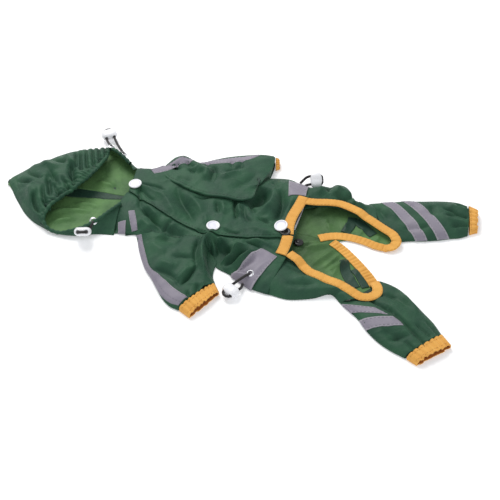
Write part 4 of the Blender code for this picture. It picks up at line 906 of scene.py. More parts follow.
legNearOuter = route((94.8, -43.9), (105, -51.2), (113.9, -58.8), (121.9, -68), (133.5, -77.6), (145.4, -84),
                     (158, -88.5))
legNearInner = route((121.5, -9), (131, -11.2), (142, -17), (152.2, -26), (163.7, -36.3), (173.6, -45.5),
                     (182.5, -57))
legNearEnd = route((158, -88.5), (171, -74), (182.5, -57))
legNearTop = patch(legNearOuter, legNearInner,
                   route((94.8, -43.9), (104, -41), (114, -39.5), (122, -34), (125.5, -24), (125, -15),
                         (121.5, -9)),
                   legNearEnd)
legNearLow = patch(legNearOuter, legNearInner, route((94.8, -43.9), (107.5, -27), (121.5, -9)), legNearEnd)
legNearCrown = profile((0, 5.8), (0.3, 9.5), (1, 8.5))
legNearFolds = [
    (-1.9, 1.7, 0.5, 1, 1, (115, -36), (127, -43), (140, -51), (152, -60), (163, -69), (172, -76)),
    (1.0, 3.2, 0.0, 0, 0, (122, -34), (138, -44), (152, -55), (166, -66)),
    (-1.4, 4.0, 0.0, 0, 0, (128, -24), (142, -32), (156, -42)),
    (1.2, 4.0, 0.0, 0, 0, (136, -20), (150, -30), (164, -44)),
    (-1.6, 4.5, 0.0, 0, 0, (132, -66), (144, -72), (156, -76)),
    (-1.2, 2.2, 0.0, 0, 0, (140, -78), (150, -72), (160, -70)),
    (-1.3, 1.6, 0.0, 0, 1, (158, -56), (166, -60), (173, -65)),
    (-1.2, 1.5, 0.0, 0, 1, (152, -74), (158, -78), (163, -82)),
    (-1.0, 1.5, 0.0, 0, 1, (166, -48), (173, -54), (179, -60)),
    (-1.2, 2.0, 0.0, 1, 0, (124, -28), (132, -28), (140, -30)),
]


def legHeight(crown, folds, seed, turn):
    # an arch with its creases and its own small wrinkles
    def at(x, y, t, u):
        wrinkle = deeper["leg"] * foldSum(x, y, folds) + 0.6 * crumple(x, y, 12, seed, turn)
        return crowned(t, u, crown, 0.6) + calmFolds(u, 0.2, 0.10) * wrinkle
    return at


limb("leg_near", legNearTop, legNearLow, legHeight(legNearCrown, legNearFolds, 31, 2.4), 104, 64)

legFarOuter = route((92, 88), (99, 91), (111, 95.6), (124, 100.3), (135, 103.2), (149, 107.6), (163, 110.8),
                    (171, 111.2), (179, 109.3))
legFarInner = route((128, 47), (135, 50), (148, 53.9), (161, 58.8), (170.3, 63.5), (179, 67), (185.5, 72))
legFarEnd = route((179, 109.3), (182.9, 91), (185.5, 72))
legFarTop = patch(legFarOuter, legFarInner,
                  route((92, 88), (100, 74), (110, 62), (119, 56), (127, 51.5), (128, 47)), legFarEnd)
legFarLow = patch(legFarOuter, legFarInner, route((92, 88), (110, 67), (128, 47)), legFarEnd)
legFarCrown = profile((0, 5.8), (0.3, 9.2), (1, 8.5))
legFarFolds = [
    (-1.8, 1.7, 0.2, 0, 1, (156, 94), (166, 93), (174, 89), (181, 88)),
    (-1.5, 1.7, 0.0, 0, 0, (160, 82), (168, 87), (175, 89)),
    (1.3, 3.0, 0.0, 0, 1, (160, 101), (170, 99), (180, 97)),
    (1.2, 3.0, 0.0, 0, 1, (158, 88), (168, 80), (178, 80)),
    (-1.5, 3.6, 0.0, 0, 0, (146, 96), (150, 88), (152, 80)),
    (-1.2, 3.0, 0.0, 0, 0, (100, 84), (106, 74), (114, 66)),
    (1.0, 3.6, 0.0, 0, 0, (106, 86), (114, 76), (122, 66)),
    (-1.2, 2.0, 0.0, 0, 0, (126, 58), (140, 62), (154, 68)),
    (-1.3, 1.6, 0.0, 0, 1, (168, 72), (176, 76), (183, 79)),
    (-1.2, 1.6, 0.0, 0, 1, (168, 106), (174, 105), (180, 104)),
    (-1.0, 2.4, 0.0, 0, 0, (126, 92), (134, 90), (140, 84)),
]
limb("leg_far", legFarTop, legFarLow, legHeight(legFarCrown, legFarFolds, 41, 0.2), 104, 64)

print("hips and seat")
hipNearPlan = patch(route((31.6, -49.5), (49, -50.6), (59, -47.7), (70.5, -42.6), (82.4, -34.9),
                          (93.9, -43.3)),
                    route((38, -2.5), (49, -9.5), (61, -17.7), (75, -22.2), (89, -25.8), (101, -31.0),
                          (108, -34.5)),
                    route((31.6, -49.5), (36.2, -14), (38, -2.5)),
                    route((93.9, -43.3), (103.3, -40.2), (108, -34.5)))
hipFarPlan = patch(route((38, 96.5), (44, 99), (49.3, 101), (56, 106.5), (63.5, 106), (70, 99.5),
                         (73.8, 88.5), (78, 88), (83.5, 86), (91.2, 87.4)),
                   route((37.6, 62.5), (46, 67), (57.6, 70), (65, 70.7), (79, 67.3), (97, 59.5), (106, 54)),
                   route((38, 96.5), (37.5, 80), (37.6, 62.5)), route((91.2, 87.4), (99.4, 73.6), (106, 54)))
hip = {"fold": 1.6, "edge": 5.6, "least": 0.9}
hipFolds = [
    (-1.2, 3.0, 0.0, 0, 0, (40, -40), (56, -36), (72, -32)),
    (1.0, 5.0, 0.0, 0, 0, (44, -30), (60, -28), (76, -28)),
    (-1.2, 1.8, 0.0, 0, 0, (36, -16), (48, -20), (60, -24)),
    (-0.9, 2.0, 0.0, 0, 0, (78, -40), (86, -36), (96, -34)),
    (-2.2, 2.6, 0.0, 1, 0, (73, 88), (69, 82), (66, 76)),
    (2.0, 3.6, 0.0, 0, 0, (62, 98), (60, 90), (60, 82)),
    (-1.8, 2.4, 0.0, 1, 0, (52, 101), (52, 93), (50, 84)),
    (1.2, 3.2, 0.0, 0, 0, (44, 95), (44, 86), (44, 78)),
    (-1.3, 2.0, 0.0, 0, 0, (83, 86), (80, 80), (78, 74)),
    (-1.2, 1.8, 0.0, 0, 0, (56, 86), (66, 80), (78, 74), (90, 68)),
    (1.1, 2.6, 0.0, 0, 0, (74, 82), (84, 78), (92, 72)),
]


def hipGrid(plan, rows, columns, peak):
    # from the side fold it swells to a hump, then runs level to the binding of the rear opening
    t, u = mesh2d(rows, columns)
    grid = plan(t, u)
    low, edge = hip["fold"], hip["edge"]
    shape = low + (edge - low) * (1 - (1 - u) ** 2) + 6.75 * peak * u * (1 - u) ** 2 * (1 - 0.35 * t)
    x, y = grid[..., 0], grid[..., 1]
    wrinkle = deeper["hip"] * foldSum(x, y, hipFolds) + 0.6 * crumple(x, y, 12, 51, 1.2)
    grid[..., 2] = np.maximum(shape + calmFolds(u, 0.25, 0.15) * wrinkle, hip["least"])
    return grid


for side, plan, rows, peak in (("near", hipNearPlan, 70, 5.0), ("far", hipFarPlan, 76, 6.5)):
    grid = hipGrid(plan, rows, 40, peak)
    remember("hip_" + side, grid)
    grid = rolled(grid, "left", grid[:, 0, 2] - body["under"], back=2.0, bulge=0.7)
    greenCloth("hip_" + side, [(tucked(grid, "start", 4.0, 0.3), (0, 0, 1))])

seatNear = patch(route((31, -46.5), (49, -46.5), (60, -44), (70.5, -38.5), (82.4, -32), (94, -36),
                       (108, -28)),
                 route((33, 31), (52, 31), (72.5, 31), (80.5, 26.5), (91.5, 17.5), (103.5, 6.5),
                       (112.0, -3.0), (118.5, -12.4)),
                 route((31, -46.5), (29, -10), (33, 31)), route((108, -28), (118.5, -12.4)))
seatFar = patch(route((33, 31), (52, 31), (72.5, 31), (84, 35.8), (97.5, 34.8), (110, 33.0), (119, 33.5)),
                route((32.5, 94.6), (40, 97), (49, 98), (60, 99), (68.5, 94), (78, 87), (91.4, 85), (110, 66),
                      (126.0, 44.4)),
                route((33, 31), (33.5, 60), (32.5, 94.6)), route((119, 33.5), (126.0, 44.4)))
seatFolds = [
    (-2.6, 2.0, 0.0, 0, 0, (52, 24), (46, 14), (42, 2), (40, -10)),
    (-2.2, 1.8, 0.0, 0, 0, (64, 16), (58, 4), (54, -8), (52, -20)),
    (-2.0, 1.6, 0.0, 0, 0, (82, 12), (74, 0), (68, -12), (66, -22)),
    (2.0, 2.0, 0.0, 0, 0, (90, 10), (82, 0), (74, -8)),
    (-2.2, 1.8, 0.0, 0, 0, (66, 80), (54, 68), (46, 56), (40, 44)),
    (1.8, 2.4, 0.0, 0, 0, (60, 84), (50, 74), (42, 62)),
    (-1.6, 1.6, 0.0, 0, 0, (76, 72), (66, 62), (56, 48)),
    (2.0, 2.4, 0.2, 0, 0, (68, 28), (58, 20), (46, 14), (38, 6)),
    (-1.0, 1.8, 0.0, 0, 0, (70, 25), (62, 14), (52, 4), (46, -2)),
    (1.8, 2.6, 0.0, 0, 0, (74, 23), (68, 10), (60, -2), (54, -8)),
    (1.5, 2.2, 0.0, 0, 0, (80, 20), (76, 8), (70, -6), (66, -14)),
    (1.3, 2.2, 0.0, 0, 0, (86, 14), (84, 4), (80, -8), (78, -18)),
    (1.4, 2.2, 0.0, 0, 0, (60, 24), (50, 22), (42, 18)),
    (1.2, 2.6, 0.0, 0, 0, (66, 40), (60, 50), (54, 60)),
    (1.2, 2.4, 0.0, 0, 0, (78, 42), (76, 52), (72, 62)),
    (1.0, 2.2, 0.0, 0, 0, (90, 42), (92, 50), (90, 58)),
    (0.5, 2.4, 0.0, 0, 0, (98, 6), (98, -6), (94, -18)),
    (1.0, 2.0, 0.0, 0, 0, (104, 38), (108, 44), (106, 50)),
]


def seatHeight(x, y):
    wrinkle = deeper["seat"] * foldSum(x, y, seatFolds) + 0.35 * crumple(x, y, 12, 61, 1.0)
    return 1.0 + 1.2 * smooth((60 - x) / 30) + wrinkle


seatSheets = []
for name, plan in (("seat_near", seatNear), ("seat_far", seatFar)):
    grid = plan(*mesh2d(96, 66))
    grid[..., 2] = np.maximum(seatHeight(grid[..., 0], grid[..., 1]), 0.75)
    remember(name, grid)
    seatSheets.append((grid, (0, 0, 1)))
clothPiece("seat_panel_cloth", seatSheets, ["rear", "green"], ["seat_panel"])
# painted shade on the inside of the seat: dark bands where the tapes on the outside cast their shadow through
# the thin cloth; x, y, width
seatShadowBands = {
    "seat_shadow_near_a": ((84.5, 9, 8.5), (89, -4, 9.5), (96, -15, 9.5), (102, -22, 8.5)),
    "seat_shadow_near_b": ((95, 0, 5.5), (103, -9, 7), (110, -19, 7)),
    "seat_shadow_far_a": ((80, 66, 8.5), (80.5, 57, 9), (77.5, 44, 9)),
    "seat_shadow_far_b": ((84, 63, 8), (93, 56, 9.5), (103, 48, 9)),
}
for name, rows in seatShadowBands.items():
    strip(name, ["seat_near", "seat_far"], rows, 40, ["shaded"], None, across=15, lift=0.7,
          least=1.2, wall=0.3, edges=False, sag=0.3)

print("hood")


hood = {"rows": 130, "flat": 34, "rising": 26, "sag": 1.6, "tuck": 2.8, "tuckFrom": -176.0}


def wallGrid(table, rows, flat, rising):
    # from the centre strip level to the side fold, then up to the rim; a sine of sag bows it outward between
    # them. Past tuckFrom its edge is drawn in by tuck, to stay under the crown
    table = np.array(table, float)
    knots = np.concatenate([[0.0], np.cumsum(np.linalg.norm(np.diff(table[:, 2:4], axis=0), axis=1))])
    data = hermite(knots, table, np.linspace(0, knots[-1], rows))
    inner, edge, rim = data[:, 0:2], data[:, 2:4].copy(), data[:, 4:7].copy()
    wideEnough = np.abs(inner - edge).max(1, keepdims=True) > 4
    inset = unit(inner - edge) * hood["tuck"] * smooth((hood["tuckFrom"] - edge[:, :1]) / 8) * wideEnough
    edge += inset
    rim[:, :2] += inset
    across, up = np.linspace(0, 1, flat)[None, :, None], np.linspace(0, 1, rising + 1)[None, 1:]
    grid = np.zeros((rows, flat + rising, 3))
    grid[:, :flat, :2] = inner[:, None] + (edge - inner)[:, None] * across
    height = np.clip(rim[:, 2] - 0.5, 0, None)[:, None]
    bow = np.sin(math.pi * up)[..., None] * unit(edge - inner)[:, None] * hood["sag"]
    bow = bow * np.clip(height / 6, 0, 1)[..., None]
    grid[:, flat:, :2] = edge[:, None] + (rim[:, :2] - edge)[:, None] * up[..., None] + bow
    grid[:, flat:, 2] = height * up ** 0.85
    return grid


# strip x, y | side fold x, y | rim x, y, z
hoodNearTable = [
    (-247.0, 24.0, -245.5, 20.5, -245.2, 19.8, 0.5),
    (-240.0, 23.5, -237.0, 12.0, -236.6, 11.3, 0.5),
    (-225.0, 23.0, -226.0, -0.5, -226.0, -1.3, 0.5),
    (-208.0, 22.5, -212.0, -13.6, -212.0, -14.4, 0.5),
    (-195.0, 22.0, -200.0, -21.6, -200.0, -22.3, 0.5),
    (-183.0, 21.5, -187.0, -27.2, -187.0, -28.0, 0.6),
    (-170.0, 24.0, -174.0, -29.0, -174.0, -29.0, 2.0),
    (-158.0, 26.0, -162.0, -28.0, -162.0, -27.0, 5.5),
    (-147.0, 28.0, -148.0, -22.5, -146.0, -17.5, 10.0),
    (-136.0, 31.0, -136.0, -18.2, -135.5, 0.5, 11.5),
    (-128.0, 33.0, -124.6, -16.0, -129.0, 15.5, 11.0),
]
hoodFarTable = [
    (-247.0, 30.5, -245.0, 34.5, -244.6, 35.2, 0.5),
    (-240.0, 31.0, -240.5, 42.0, -240.5, 42.8, 0.5),
    (-226.0, 32.0, -229.0, 57.5, -229.0, 58.3, 0.5),
    (-210.0, 33.0, -213.5, 75.5, -213.5, 76.3, 0.5),
    (-195.0, 34.0, -196.0, 86.5, -196.0, 87.3, 0.5),
    (-182.0, 34.5, -183.0, 91.2, -183.0, 92.0, 0.6),
    (-171.0, 35.0, -172.5, 93.8, -172.5, 93.0, 5.0),
    (-161.0, 35.5, -163.0, 92.0, -163.5, 86.5, 12.5),
    (-150.0, 36.0, -151.0, 86.5, -150.0, 79.0, 12.0),
    (-140.0, 36.5, -142.0, 80.0, -140.5, 72.5, 10.5),
    (-131.5, 37.0, -133.5, 77.0, -134.5, 66.0, 9.0),
]
wallFolds = [
    (1.2, 2.4, 0.2, 0, 0, (-168, 50), (-156, 47), (-144, 46)),
    (-0.8, 1.8, 0.0, 0, 0, (-160, 60), (-150, 66), (-142, 68)),
    (1.5, 2.2, 0.0, 0, 0, (-195, -5), (-180, 2), (-165, 5), (-150, 8)),
    (1.2, 2.0, 0.0, 0, 0, (-186, -18), (-175, -10), (-164, -6)),
    (1.0, 2.0, 0.0, 0, 0, (-176, 14), (-160, 16), (-146, 14)),
    (-1.4, 1.8, 0.0, 0, 0, (-150, -12), (-142, -4), (-136, 6)),
    (1.2, 2.4, 0.0, 0, 0, (-146, 2), (-138, 8), (-131, 14)),
]
hoodRims = {}
for side, table, firstStitch in (("near", hoodNearTable, 70), ("far", hoodFarTable, 78)):
    grid = wallGrid(table, hood["rows"], hood["flat"], hood["rising"])
    x, y = grid[..., 0], grid[..., 1]
    lift = 0.9 + deeper["wall"] * foldSum(x, y, wallFolds) + 0.45 * crumple(x, y, 13, 71, 0.3)
    lift = np.maximum(lift, 0.5)
    grid[..., 2] += lift * (0.35 + 0.65 * smooth((-120 - x) / 30))
    hoodRims[side] = grid[:, -1]
    remember("hood_" + side, grid[:, :hood["flat"]])
    stitch("thread", line(grid, 57.0, firstStitch), 0.25)
    clothPiece("hood_" + side + "_cloth", [(grid, (0, 0, -1))], ["green", "inside"],
               ["hood_" + side])
# painted shade: the centre strip takes the dark green of shade, for the band where the tape on the hood's
# outer side casts its shadow through the thin cloth
stripRows = ((-248, 27.2, 5), (-240, 27.2, 7), (-225, 27.5, 8.5), (-195, 28.5, 13.5), (-170, 31.5, 16.5),
             (-147, 37, 18.5), (-130, 42, 19))
stripGrid = strip("hood_strip_cloth", ["hood_near", "hood_far"], stripRows, 90, ["shaded"],
                  ["hood_strip"], across=13, lift=0.35, least=0.8, edges=False)
for column in (1.4, 10.6):
    stitch("thread", line(stripGrid, column, 30, 88))

# crown: the outer half of the hood, folded over the back of the head; fold x, y | rim x, y, z
crownTable = np.array([
    (-186.5, -26.0, -184.5, -27.5, 4.0),
    (-200.5, -20.6, -190.5, -22.0, 8.5),
    (-212.5, -12.5, -190.8, -13.5, 12.5),
    (-225.5, 0.5, -187.5, -3.0, 15.5),
    (-236.5, 13.0, -180.0, 9.0, 17.0),
    (-246.5, 27.5, -175.5, 19.5, 18.5),
    (-240.5, 41.5, -170.5, 30.5, 19.0),
    (-229.5, 56.5, -166.8, 41.0, 19.0),
    (-213.8, 74.5, -165.0, 55.0, 18.0),
    (-196.5, 85.8, -164.0, 69.0, 16.5),
    (-177.0, 91.6, -165.5, 82.5, 15.0),
])
# these fold lines are drawn on the level that sight names, as they show from the photo's side
crownFolds = [
    (-4.2, 2.6, 0.2, 0, 1, (-192, 55), (-187, 42), (-182, 33)),
    (-3.6, 2.6, 0.0, 0, 0, (-208, 34), (-204, 26), (-198, 14), (-195, 7), (-190, -2)),
    (-3.0, 2.4, 0.0, 0, 0, (-212, 39), (-203, 32), (-189, 17), (-183, 10)),
    (-2.2, 2.0, 0.0, 0, 0, (-232, 33), (-226, 28), (-216, 26), (-207, 23)),
    (-2.0, 2.2, 0.0, 0, 0, (-236, 17), (-230, 15), (-216, 18)),
    (-2.4, 2.2, 0.0, 0, 0, (-218, 50), (-211, 51), (-201, 52), (-192, 52)),
    (-2.4, 1.5, 0.2, 0, 1, (-196, 72), (-192, 64), (-186, 50)),
    (-2.6, 1.5, 0.0, 0, 1, (-191, 74), (-186, 62), (-179, 46)),
    (-2.4, 1.4, 0.0, 0, 1, (-188, 80), (-181, 64), (-174, 49)),
    (-2.4, 1.4, 0.0, 0, 1, (-183, 83), (-176, 68), (-169.5, 54)),
    (-2.2, 1.4, 0.0, 0, 1, (-178, 86), (-172, 73), (-166, 60)),
    (-2.0, 1.3, 0.0, 0, 1, (-172, 87), (-168, 78), (-164, 69)),
    (-3.0, 2.2, 0.2, 0, 0, (-210, 11), (-207, -5), (-198, -19), (-191, -26)),
    (-2.8, 2.0, 0.0, 0, 0, (-206, 19), (-201, 5), (-193, -8), (-188, -16)),
    (-2.0, 1.6, 0.0, 0, 1, (-198, 22), (-190, 12), (-184, 4)),
    (-2.0, 1.5, 0.0, 0, 1, (-194, 32), (-186, 24), (-180, 16)),
    (-2.0, 1.5, 0.0, 0, 1, (-190, 40), (-182, 30), (-176, 22)),
    (-1.8, 1.5, 0.0, 0, 1, (-200, -2), (-194, -8), (-188, -12)),
    (2.0, 3.4, 0.0, 0, 0, (-222, 40), (-210, 42), (-198, 40)),
    (1.8, 3.4, 0.0, 0, 0, (-218, 14), (-214, 0), (-206, -12)),
    (1.6, 3.0, 0.0, 0, 0, (-206, 62), (-198, 58), (-190, 48)),
    (1.6, 2.6, 0.0, 0, 1, (-200, 26), (-192, 20), (-184, 12)),
    (1.6, 4.6, 0.0, 0, 0, (-236, 28), (-226, 36), (-214, 46), (-204, 58)),
    (-1.2, 3.0, 0.0, 0, 0, (-240, 24), (-232, 10), (-222, -2)),
]
crownSize = {"rows": 190, "across": 74, "edge": 1.6, "puff": 4.5, "least": 1.2, "gathers": 26}
# the photo's line of sight: the level it is followed from, and its run in x and y for each millimetre down
sight = {"level": 17.0, "x": 0.285, "y": -0.995}
crownStep = 0.5 * (np.linalg.norm(np.diff(crownTable[:, :2], axis=0), axis=1)
                   + np.linalg.norm(np.diff(crownTable[:, 2:4], axis=0), axis=1))
crownKnots = np.concatenate([[0.0], np.cumsum(crownStep)])
crownRows = hermite(crownKnots, crownTable, np.linspace(0, crownKnots[-1], crownSize["rows"]))
crownFold, crownRim, crownTop = crownRows[:, :2], crownRows[:, 2:4], crownRows[:, 4:5]
across = np.linspace(0, 1, crownSize["across"])[None]
crown = np.zeros((crownSize["rows"], crownSize["across"], 3))
crown[..., :2] = crownFold[:, None] + (crownRim - crownFold)[:, None] * across[..., None]
# its section rises from the fold to the rim as a quarter sine, with a half sine of puff on it
puff = crownSize["puff"] * np.clip(np.linalg.norm(crownRim - crownFold, axis=1) / 50, 0, 1)[:, None]
crown[..., 2] = (crownSize["edge"] + (crownTop - crownSize["edge"]) * np.sin(across * math.pi / 2) ** 0.8
                 + puff * np.sin(across * math.pi))
gathers = np.linspace(0, 1, crownSize["rows"])[:, None] * 2 * math.pi * crownSize["gathers"]
gathers = gathers + 1.6 * np.sin(gathers / 7.3) + 1.1 * np.sin(gathers / 3.1)
below = sight["level"] - crown[..., 2]
seenX, seenY = crown[..., 0] + sight["x"] * below, crown[..., 1] + sight["y"] * below
wrinkle = deeper["crown"] * foldSum(seenX, seenY, crownFolds) + 0.6 * crumple(seenX, seenY, 10, 81, 2.6)
crown[..., 2] += wrinkle * smooth(across / 0.12) + 0.7 * np.sin(gathers) * smooth((across - 0.72) / 0.28)
crown[..., 2] = np.maximum(crown[..., 2], crownSize["least"])
stitch("thread", line(crown, 69.0), 0.1)
crownWhole = rolled(crown, "left", crown[:, 0, 2] - body["under"], back=3.0, bulge=0.9)
greenCloth("hood_crown", [(rolled(crownWhole, "right", 2.6, back=6.0, bulge=0.9), (0, 0, 1))])


casing = {"radius": 1.7, "sides": 14, "rows": 420, "gathers": 46, "gather": 0.16}


def casingPiece(name, mid):
    # soft cord casing: a round section of uneven, gathered radius carried along the rims of the face opening
    s = np.linspace(0, 1, len(mid))[:, None]
    along = unit(np.gradient(mid, axis=0))
    side = unit(np.cross(along, (0, 0, 1.0)))
    up = np.cross(side, along)
    a = np.arange(casing["sides"]) * 2 * math.pi / casing["sides"]
    wave = 1 + casing["gather"] * np.sin(2 * math.pi * casing["gathers"] * s + 2 * np.sin(9 * s)
                                         + 0.6 * np.sin(a)[None])
    ring = side[:, None] * np.cos(a)[:, None] + up[:, None] * np.sin(a)[:, None]
    grid = mid[:, None] + casing["radius"] * wave[..., None] * ring
    clothPiece(name + "_cloth", [(grid, None)], ["green"], [name], 0.0, True)


nearRim = hoodRims["near"][::-1]
nearRim = nearRim[(nearRim[:, 0] > -178) & (nearRim[:, 2] > 1.8)]
farRim = hoodRims["far"]
farRim = farRim[farRim[:, 0] > -168]
rims = np.concatenate([nearRim[::9], crown[6:-6:12, -1] - (0, 0, 1.4), farRim[::9]])
casingPiece("face_casing", route(*[tuple(p) for p in rims])(np.linspace(0, 1, casing["rows"])))

print("bindings and cuffs")


def pleatWave(length, spacing, seed, sharp=1.6):
    # uneven pleats: a sine whose phase wanders, raised to a power to make the creases between them narrow
    rng = np.random.default_rng(seed)
    s = np.linspace(0, length, max(int(length / 0.55), 12))
    knots = np.linspace(0, length, max(int(length / (2.2 * spacing)), 2) + 1)
    phase = np.interp(s, knots, knots / spacing + rng.uniform(-0.28, 0.28, len(knots)))
    size = np.interp(s, knots, rng.uniform(0.65, 1.15, len(knots)))
    return len(s), size * (1 - np.abs(np.sin(math.pi * phase)) ** (1 / sharp))


# way: x, y and the least height of its underside
bindings = {
    "hem_far": {"on": ["belly_near", "belly_far"], "width": 10.0, "pleat": 6.0, "depth": 0.40, "seed": 5,
                "way": ((31.5, 71, 0), (30.0, 58, 0), (28.0, 42, 0), (28.2, 30, 0), (30.5, 17.5, 0))},
    "hem_near": {"on": ["belly_near", "belly_far"], "width": 10.0, "pleat": 7.0, "depth": 0.20, "seed": 6,
                 "way": ((31.0, 15.0, 0), (31.4, 9, 0), (31.5, 3, 0), (31.2, -3, 0), (30.6, -8.6, 0))},
    "edge_far": {"on": ["hip_far", "leg_far", "belly_far"], "width": 9.2, "pleat": 6.0, "depth": 0.42,
                 "seed": 7,
                 "way": ((34.4, 67.0, 6.2), (44, 68.6, 6.2), (57.6, 71.8, 6.2), (65, 72.5, 6.2),
                         (79, 69, 6.2), (97.8, 61, 6.2), (112.5, 53.2, 6.2), (121.5, 47.5, 6.2),
                         (125.2, 41.5, 4.8), (122.5, 35.8, 3.0), (117, 33.8, 1.5))},
    "edge_near": {"on": ["hip_near", "leg_near", "belly_near"], "width": 9.2, "pleat": 6.0, "depth": 0.42,
                  "seed": 8,
                  "way": ((37.4, -4.6, 6.2), (49, -11, 6.2), (61, -19.2, 6.2), (75, -23.7, 6.2),
                          (88.8, -27.3, 6.2), (101, -32.4, 6.2), (110.5, -35.4, 6.2), (117.5, -33.0, 6.2),
                          (121.3, -26.5, 5.2), (119.8, -19.0, 3.2), (116.2, -12.8, 1.5))},
    "gather_far": {"on": [], "width": 9.4, "pleat": 4.3, "depth": 1.0, "seed": 9,
                   "way": ((119.0, 34.2, 1.2), (108, 34.8, 1.35), (97.4, 37.5, 1.35), (83.2, 39.0, 1.35),
                           (69.8, 37.2, 1.35), (61.3, 33.4, 1.35), (56.5, 30.4, 1.35))},
    "gather_near": {"on": [], "width": 9.2, "pleat": 4.0, "depth": 1.2, "seed": 10,
                    "way": ((117.0, -14.4, 1.2), (110, -5.6, 1.35), (101, 3.6, 1.35), (88.4, 15.2, 1.35),
                            (77.4, 23.9, 1.35), (69.5, 28.6, 1.35))},
}
bindingSize = {"thick": 1.05, "edgeWave": 0.035, "across": 13, "calm": 6}


def bindingPiece(node, row):
    # bias binding: a closed flat section carried along the way. Its top is ground + thickness * a rounded
    # square profile, and its pleats thin it and draw its two edges in. Ground is the cloth below, evened out
    # along the way
    way = route(*row["way"])
    count, dents = pleatWave(way.length, row["pleat"], row["seed"])
    mid = way(np.linspace(0, 1, count))
    stand = mid[:, 2].copy()
    mid[:, 2] = 0
    pleats = -row["depth"] * dents
    half = 0.5 * row["width"] * (1 + bindingSize["edgeWave"] * pleats)
    v = np.sin(np.linspace(-0.5, 0.5, bindingSize["across"]) * math.pi)
    top = mid[:, None] + sideways(mid)[:, None] * (half[:, None] * v)[..., None]
    cloths = np.maximum(restOn(row["on"], top[..., 0], top[..., 1]) + 0.1, 0.5)
    calm = bindingSize["calm"]
    high = np.pad(np.maximum(np.quantile(cloths, 0.8, axis=1), stand), calm, mode="edge")
    ground = np.convolve(high, np.ones(2 * calm + 1) / (2 * calm + 1), "valid")[:, None]
    low = top.copy()
    swell = (1 - abs(v) ** 4)[None]
    thick = bindingSize["thick"] + pleats[:, None] * (0.55 + 0.45 * swell)
    top[..., 2] = ground + 0.15 + thick * swell ** 0.5
    low[..., 2] = ground
    remember(node, top)
    ring = np.concatenate([top, low[:, -2:0:-1]], 1)
    ends = np.broadcast_to(ring.mean(1, keepdims=True), ring.shape)
    ring = np.concatenate([ends[:1], ring, ends[-1:]])
    clothPiece(node + "_binding", [(ring, None)], ["orange"], [node], 0.0, True)
    return top


for node, row in bindings.items():
    top = bindingPiece(node, row)
    if not node.startswith("gather"):
        stitch("orangeThread", line(top, 2.4), 0.02)
        stitch("orangeThread", line(top, 9.6), 0.02)

# outer and inner: the two side folds, from sleeve or leg to mouth
cuffs = {
    "cuff_sleeve_near": {"outer": ((-37.3, -89.2), (-26.5, -95.0)), "inner": ((-16.3, -53.0), (-10.2, -61.0)),
                         "heights": (6.5, 5.5), "folds": 9, "seed": 1},
    "cuff_sleeve_far": {"outer": ((-10.5, 127.6), (-6.6, 127.0)), "inner": ((-6.2, 112.4), (-3.4, 115.0)),
                        "heights": (4.0, 3.4), "folds": 5, "seed": 2},
    "cuff_leg_near": {"outer": ((159.2, -89.6), (168.6, -94.2)), "inner": ((183.6, -57.8), (192.0, -66.4)),
                      "heights": (6.2, 5.2), "folds": 7, "seed": 3},
    "cuff_leg_far": {"outer": ((180.6, 108.4), (189.2, 105.8)), "inner": ((186.8, 73.0), (192.8, 77.6)),
                     "heights": (6.2, 5.2), "folds": 6, "seed": 4},
}


def cuffPiece(node, row):
    # gathered tube. Its section is a flattened ring whose height swings with the pleats, and its last rows
    # turn in over the mouth and run back inside
    lengthRows = np.concatenate([np.linspace(0, 1, 16), [1.02, 1.02, 1.0], np.linspace(0.94, 0.35, 8)])
    inset = np.concatenate([np.zeros(16), [0.25, 0.6, 1.0], np.full(8, 1.25)])[:, None]
    firstInner = 18
    rng = np.random.default_rng(row["seed"])
    a, b = np.array(row["outer"], float), np.array(row["inner"], float)
    t = lengthRows[:, None]
    railA, railB = a[0] + (a[1] - a[0]) * t, b[0] + (b[1] - b[0]) * t
    count = 132
    angle = np.arange(count) * 2 * math.pi / count
    u = 0.5 - 0.5 * np.cos(angle)
    across = railB - railA
    wide = np.linalg.norm(across, axis=1)[:, None]
    share = (inset + (wide - 2 * inset) * u[None]) / wide
    first, last = row["heights"]
    height = first + (last - first) * np.clip(t, 0, 1)
    up = np.sin(angle)[None]
    phase = row["folds"] * u * 2 * math.pi + rng.uniform(-0.8, 0.8)
    phase = phase + 0.9 * np.interp(u, np.linspace(0, 1, 6), rng.uniform(-1, 1, 6))
    pleat = (1 - np.abs(np.sin(0.5 * phase)) ** 0.7)[None]
    ease = 0.55 + 0.6 * np.abs(np.clip(t, 0, 1) - 0.45)
    top = 2.4 + height * np.abs(up) ** 0.62 - 2.6 * ease * pleat * np.abs(up) ** 0.5
    outerZ = 1.5 + (np.where(up >= 0, top, tube["floor"]) - 1.5) * smooth(np.abs(up) / 0.12)
    innerZ = np.where(up >= 0, outerZ - inset, outerZ + np.minimum(inset, 0.9))
    grid = np.zeros((len(lengthRows), count, 3))
    grid[..., :2] = railA[:, None] + across[:, None] * share[..., None]
    grid[..., 2] = np.where(inset > 0, np.maximum(innerZ, 0.5), outerZ)
    push = unit(a[1] - a[0] + b[1] - b[0])
    uneven = 0.7 * rng.uniform(-1, 1, 12)[(u * 11).astype(int)][None] * smooth((t - 0.6) / 0.4)
    grid[..., :2] += push * uneven[..., None]
    i = gridCorners(len(lengthRows), count, True)[0]
    # the turned-in rows take the painted-shade orange
    clothPiece(node + "_cloth", [(grid, None)], ["orange", "orangeShade"], [node], 0.0, True,
               (i >= firstInner).astype(int))
    for stitchRow in (3, 12):
        stitch("orangeThread", grid[stitchRow, 4:62], 0.05, 1.8, 1.0)


for node, row in cuffs.items():
    cuffPiece(node, row)

print("tapes")
tape = {"lift": 0.28, "wall": 0.35}
trunk = ["belly_near", "belly_far", "hip_near", "hip_far"]


def tapePiece(node, grid, edge, out=(0, 0, 1)):
    # edge is true on the faces of the tape's paler woven edges
    clothPiece(node + "_cloth", [(grid, out)], ["gray", "grayEdge"], [node], tape["wall"], False,
               edge.astype(int))


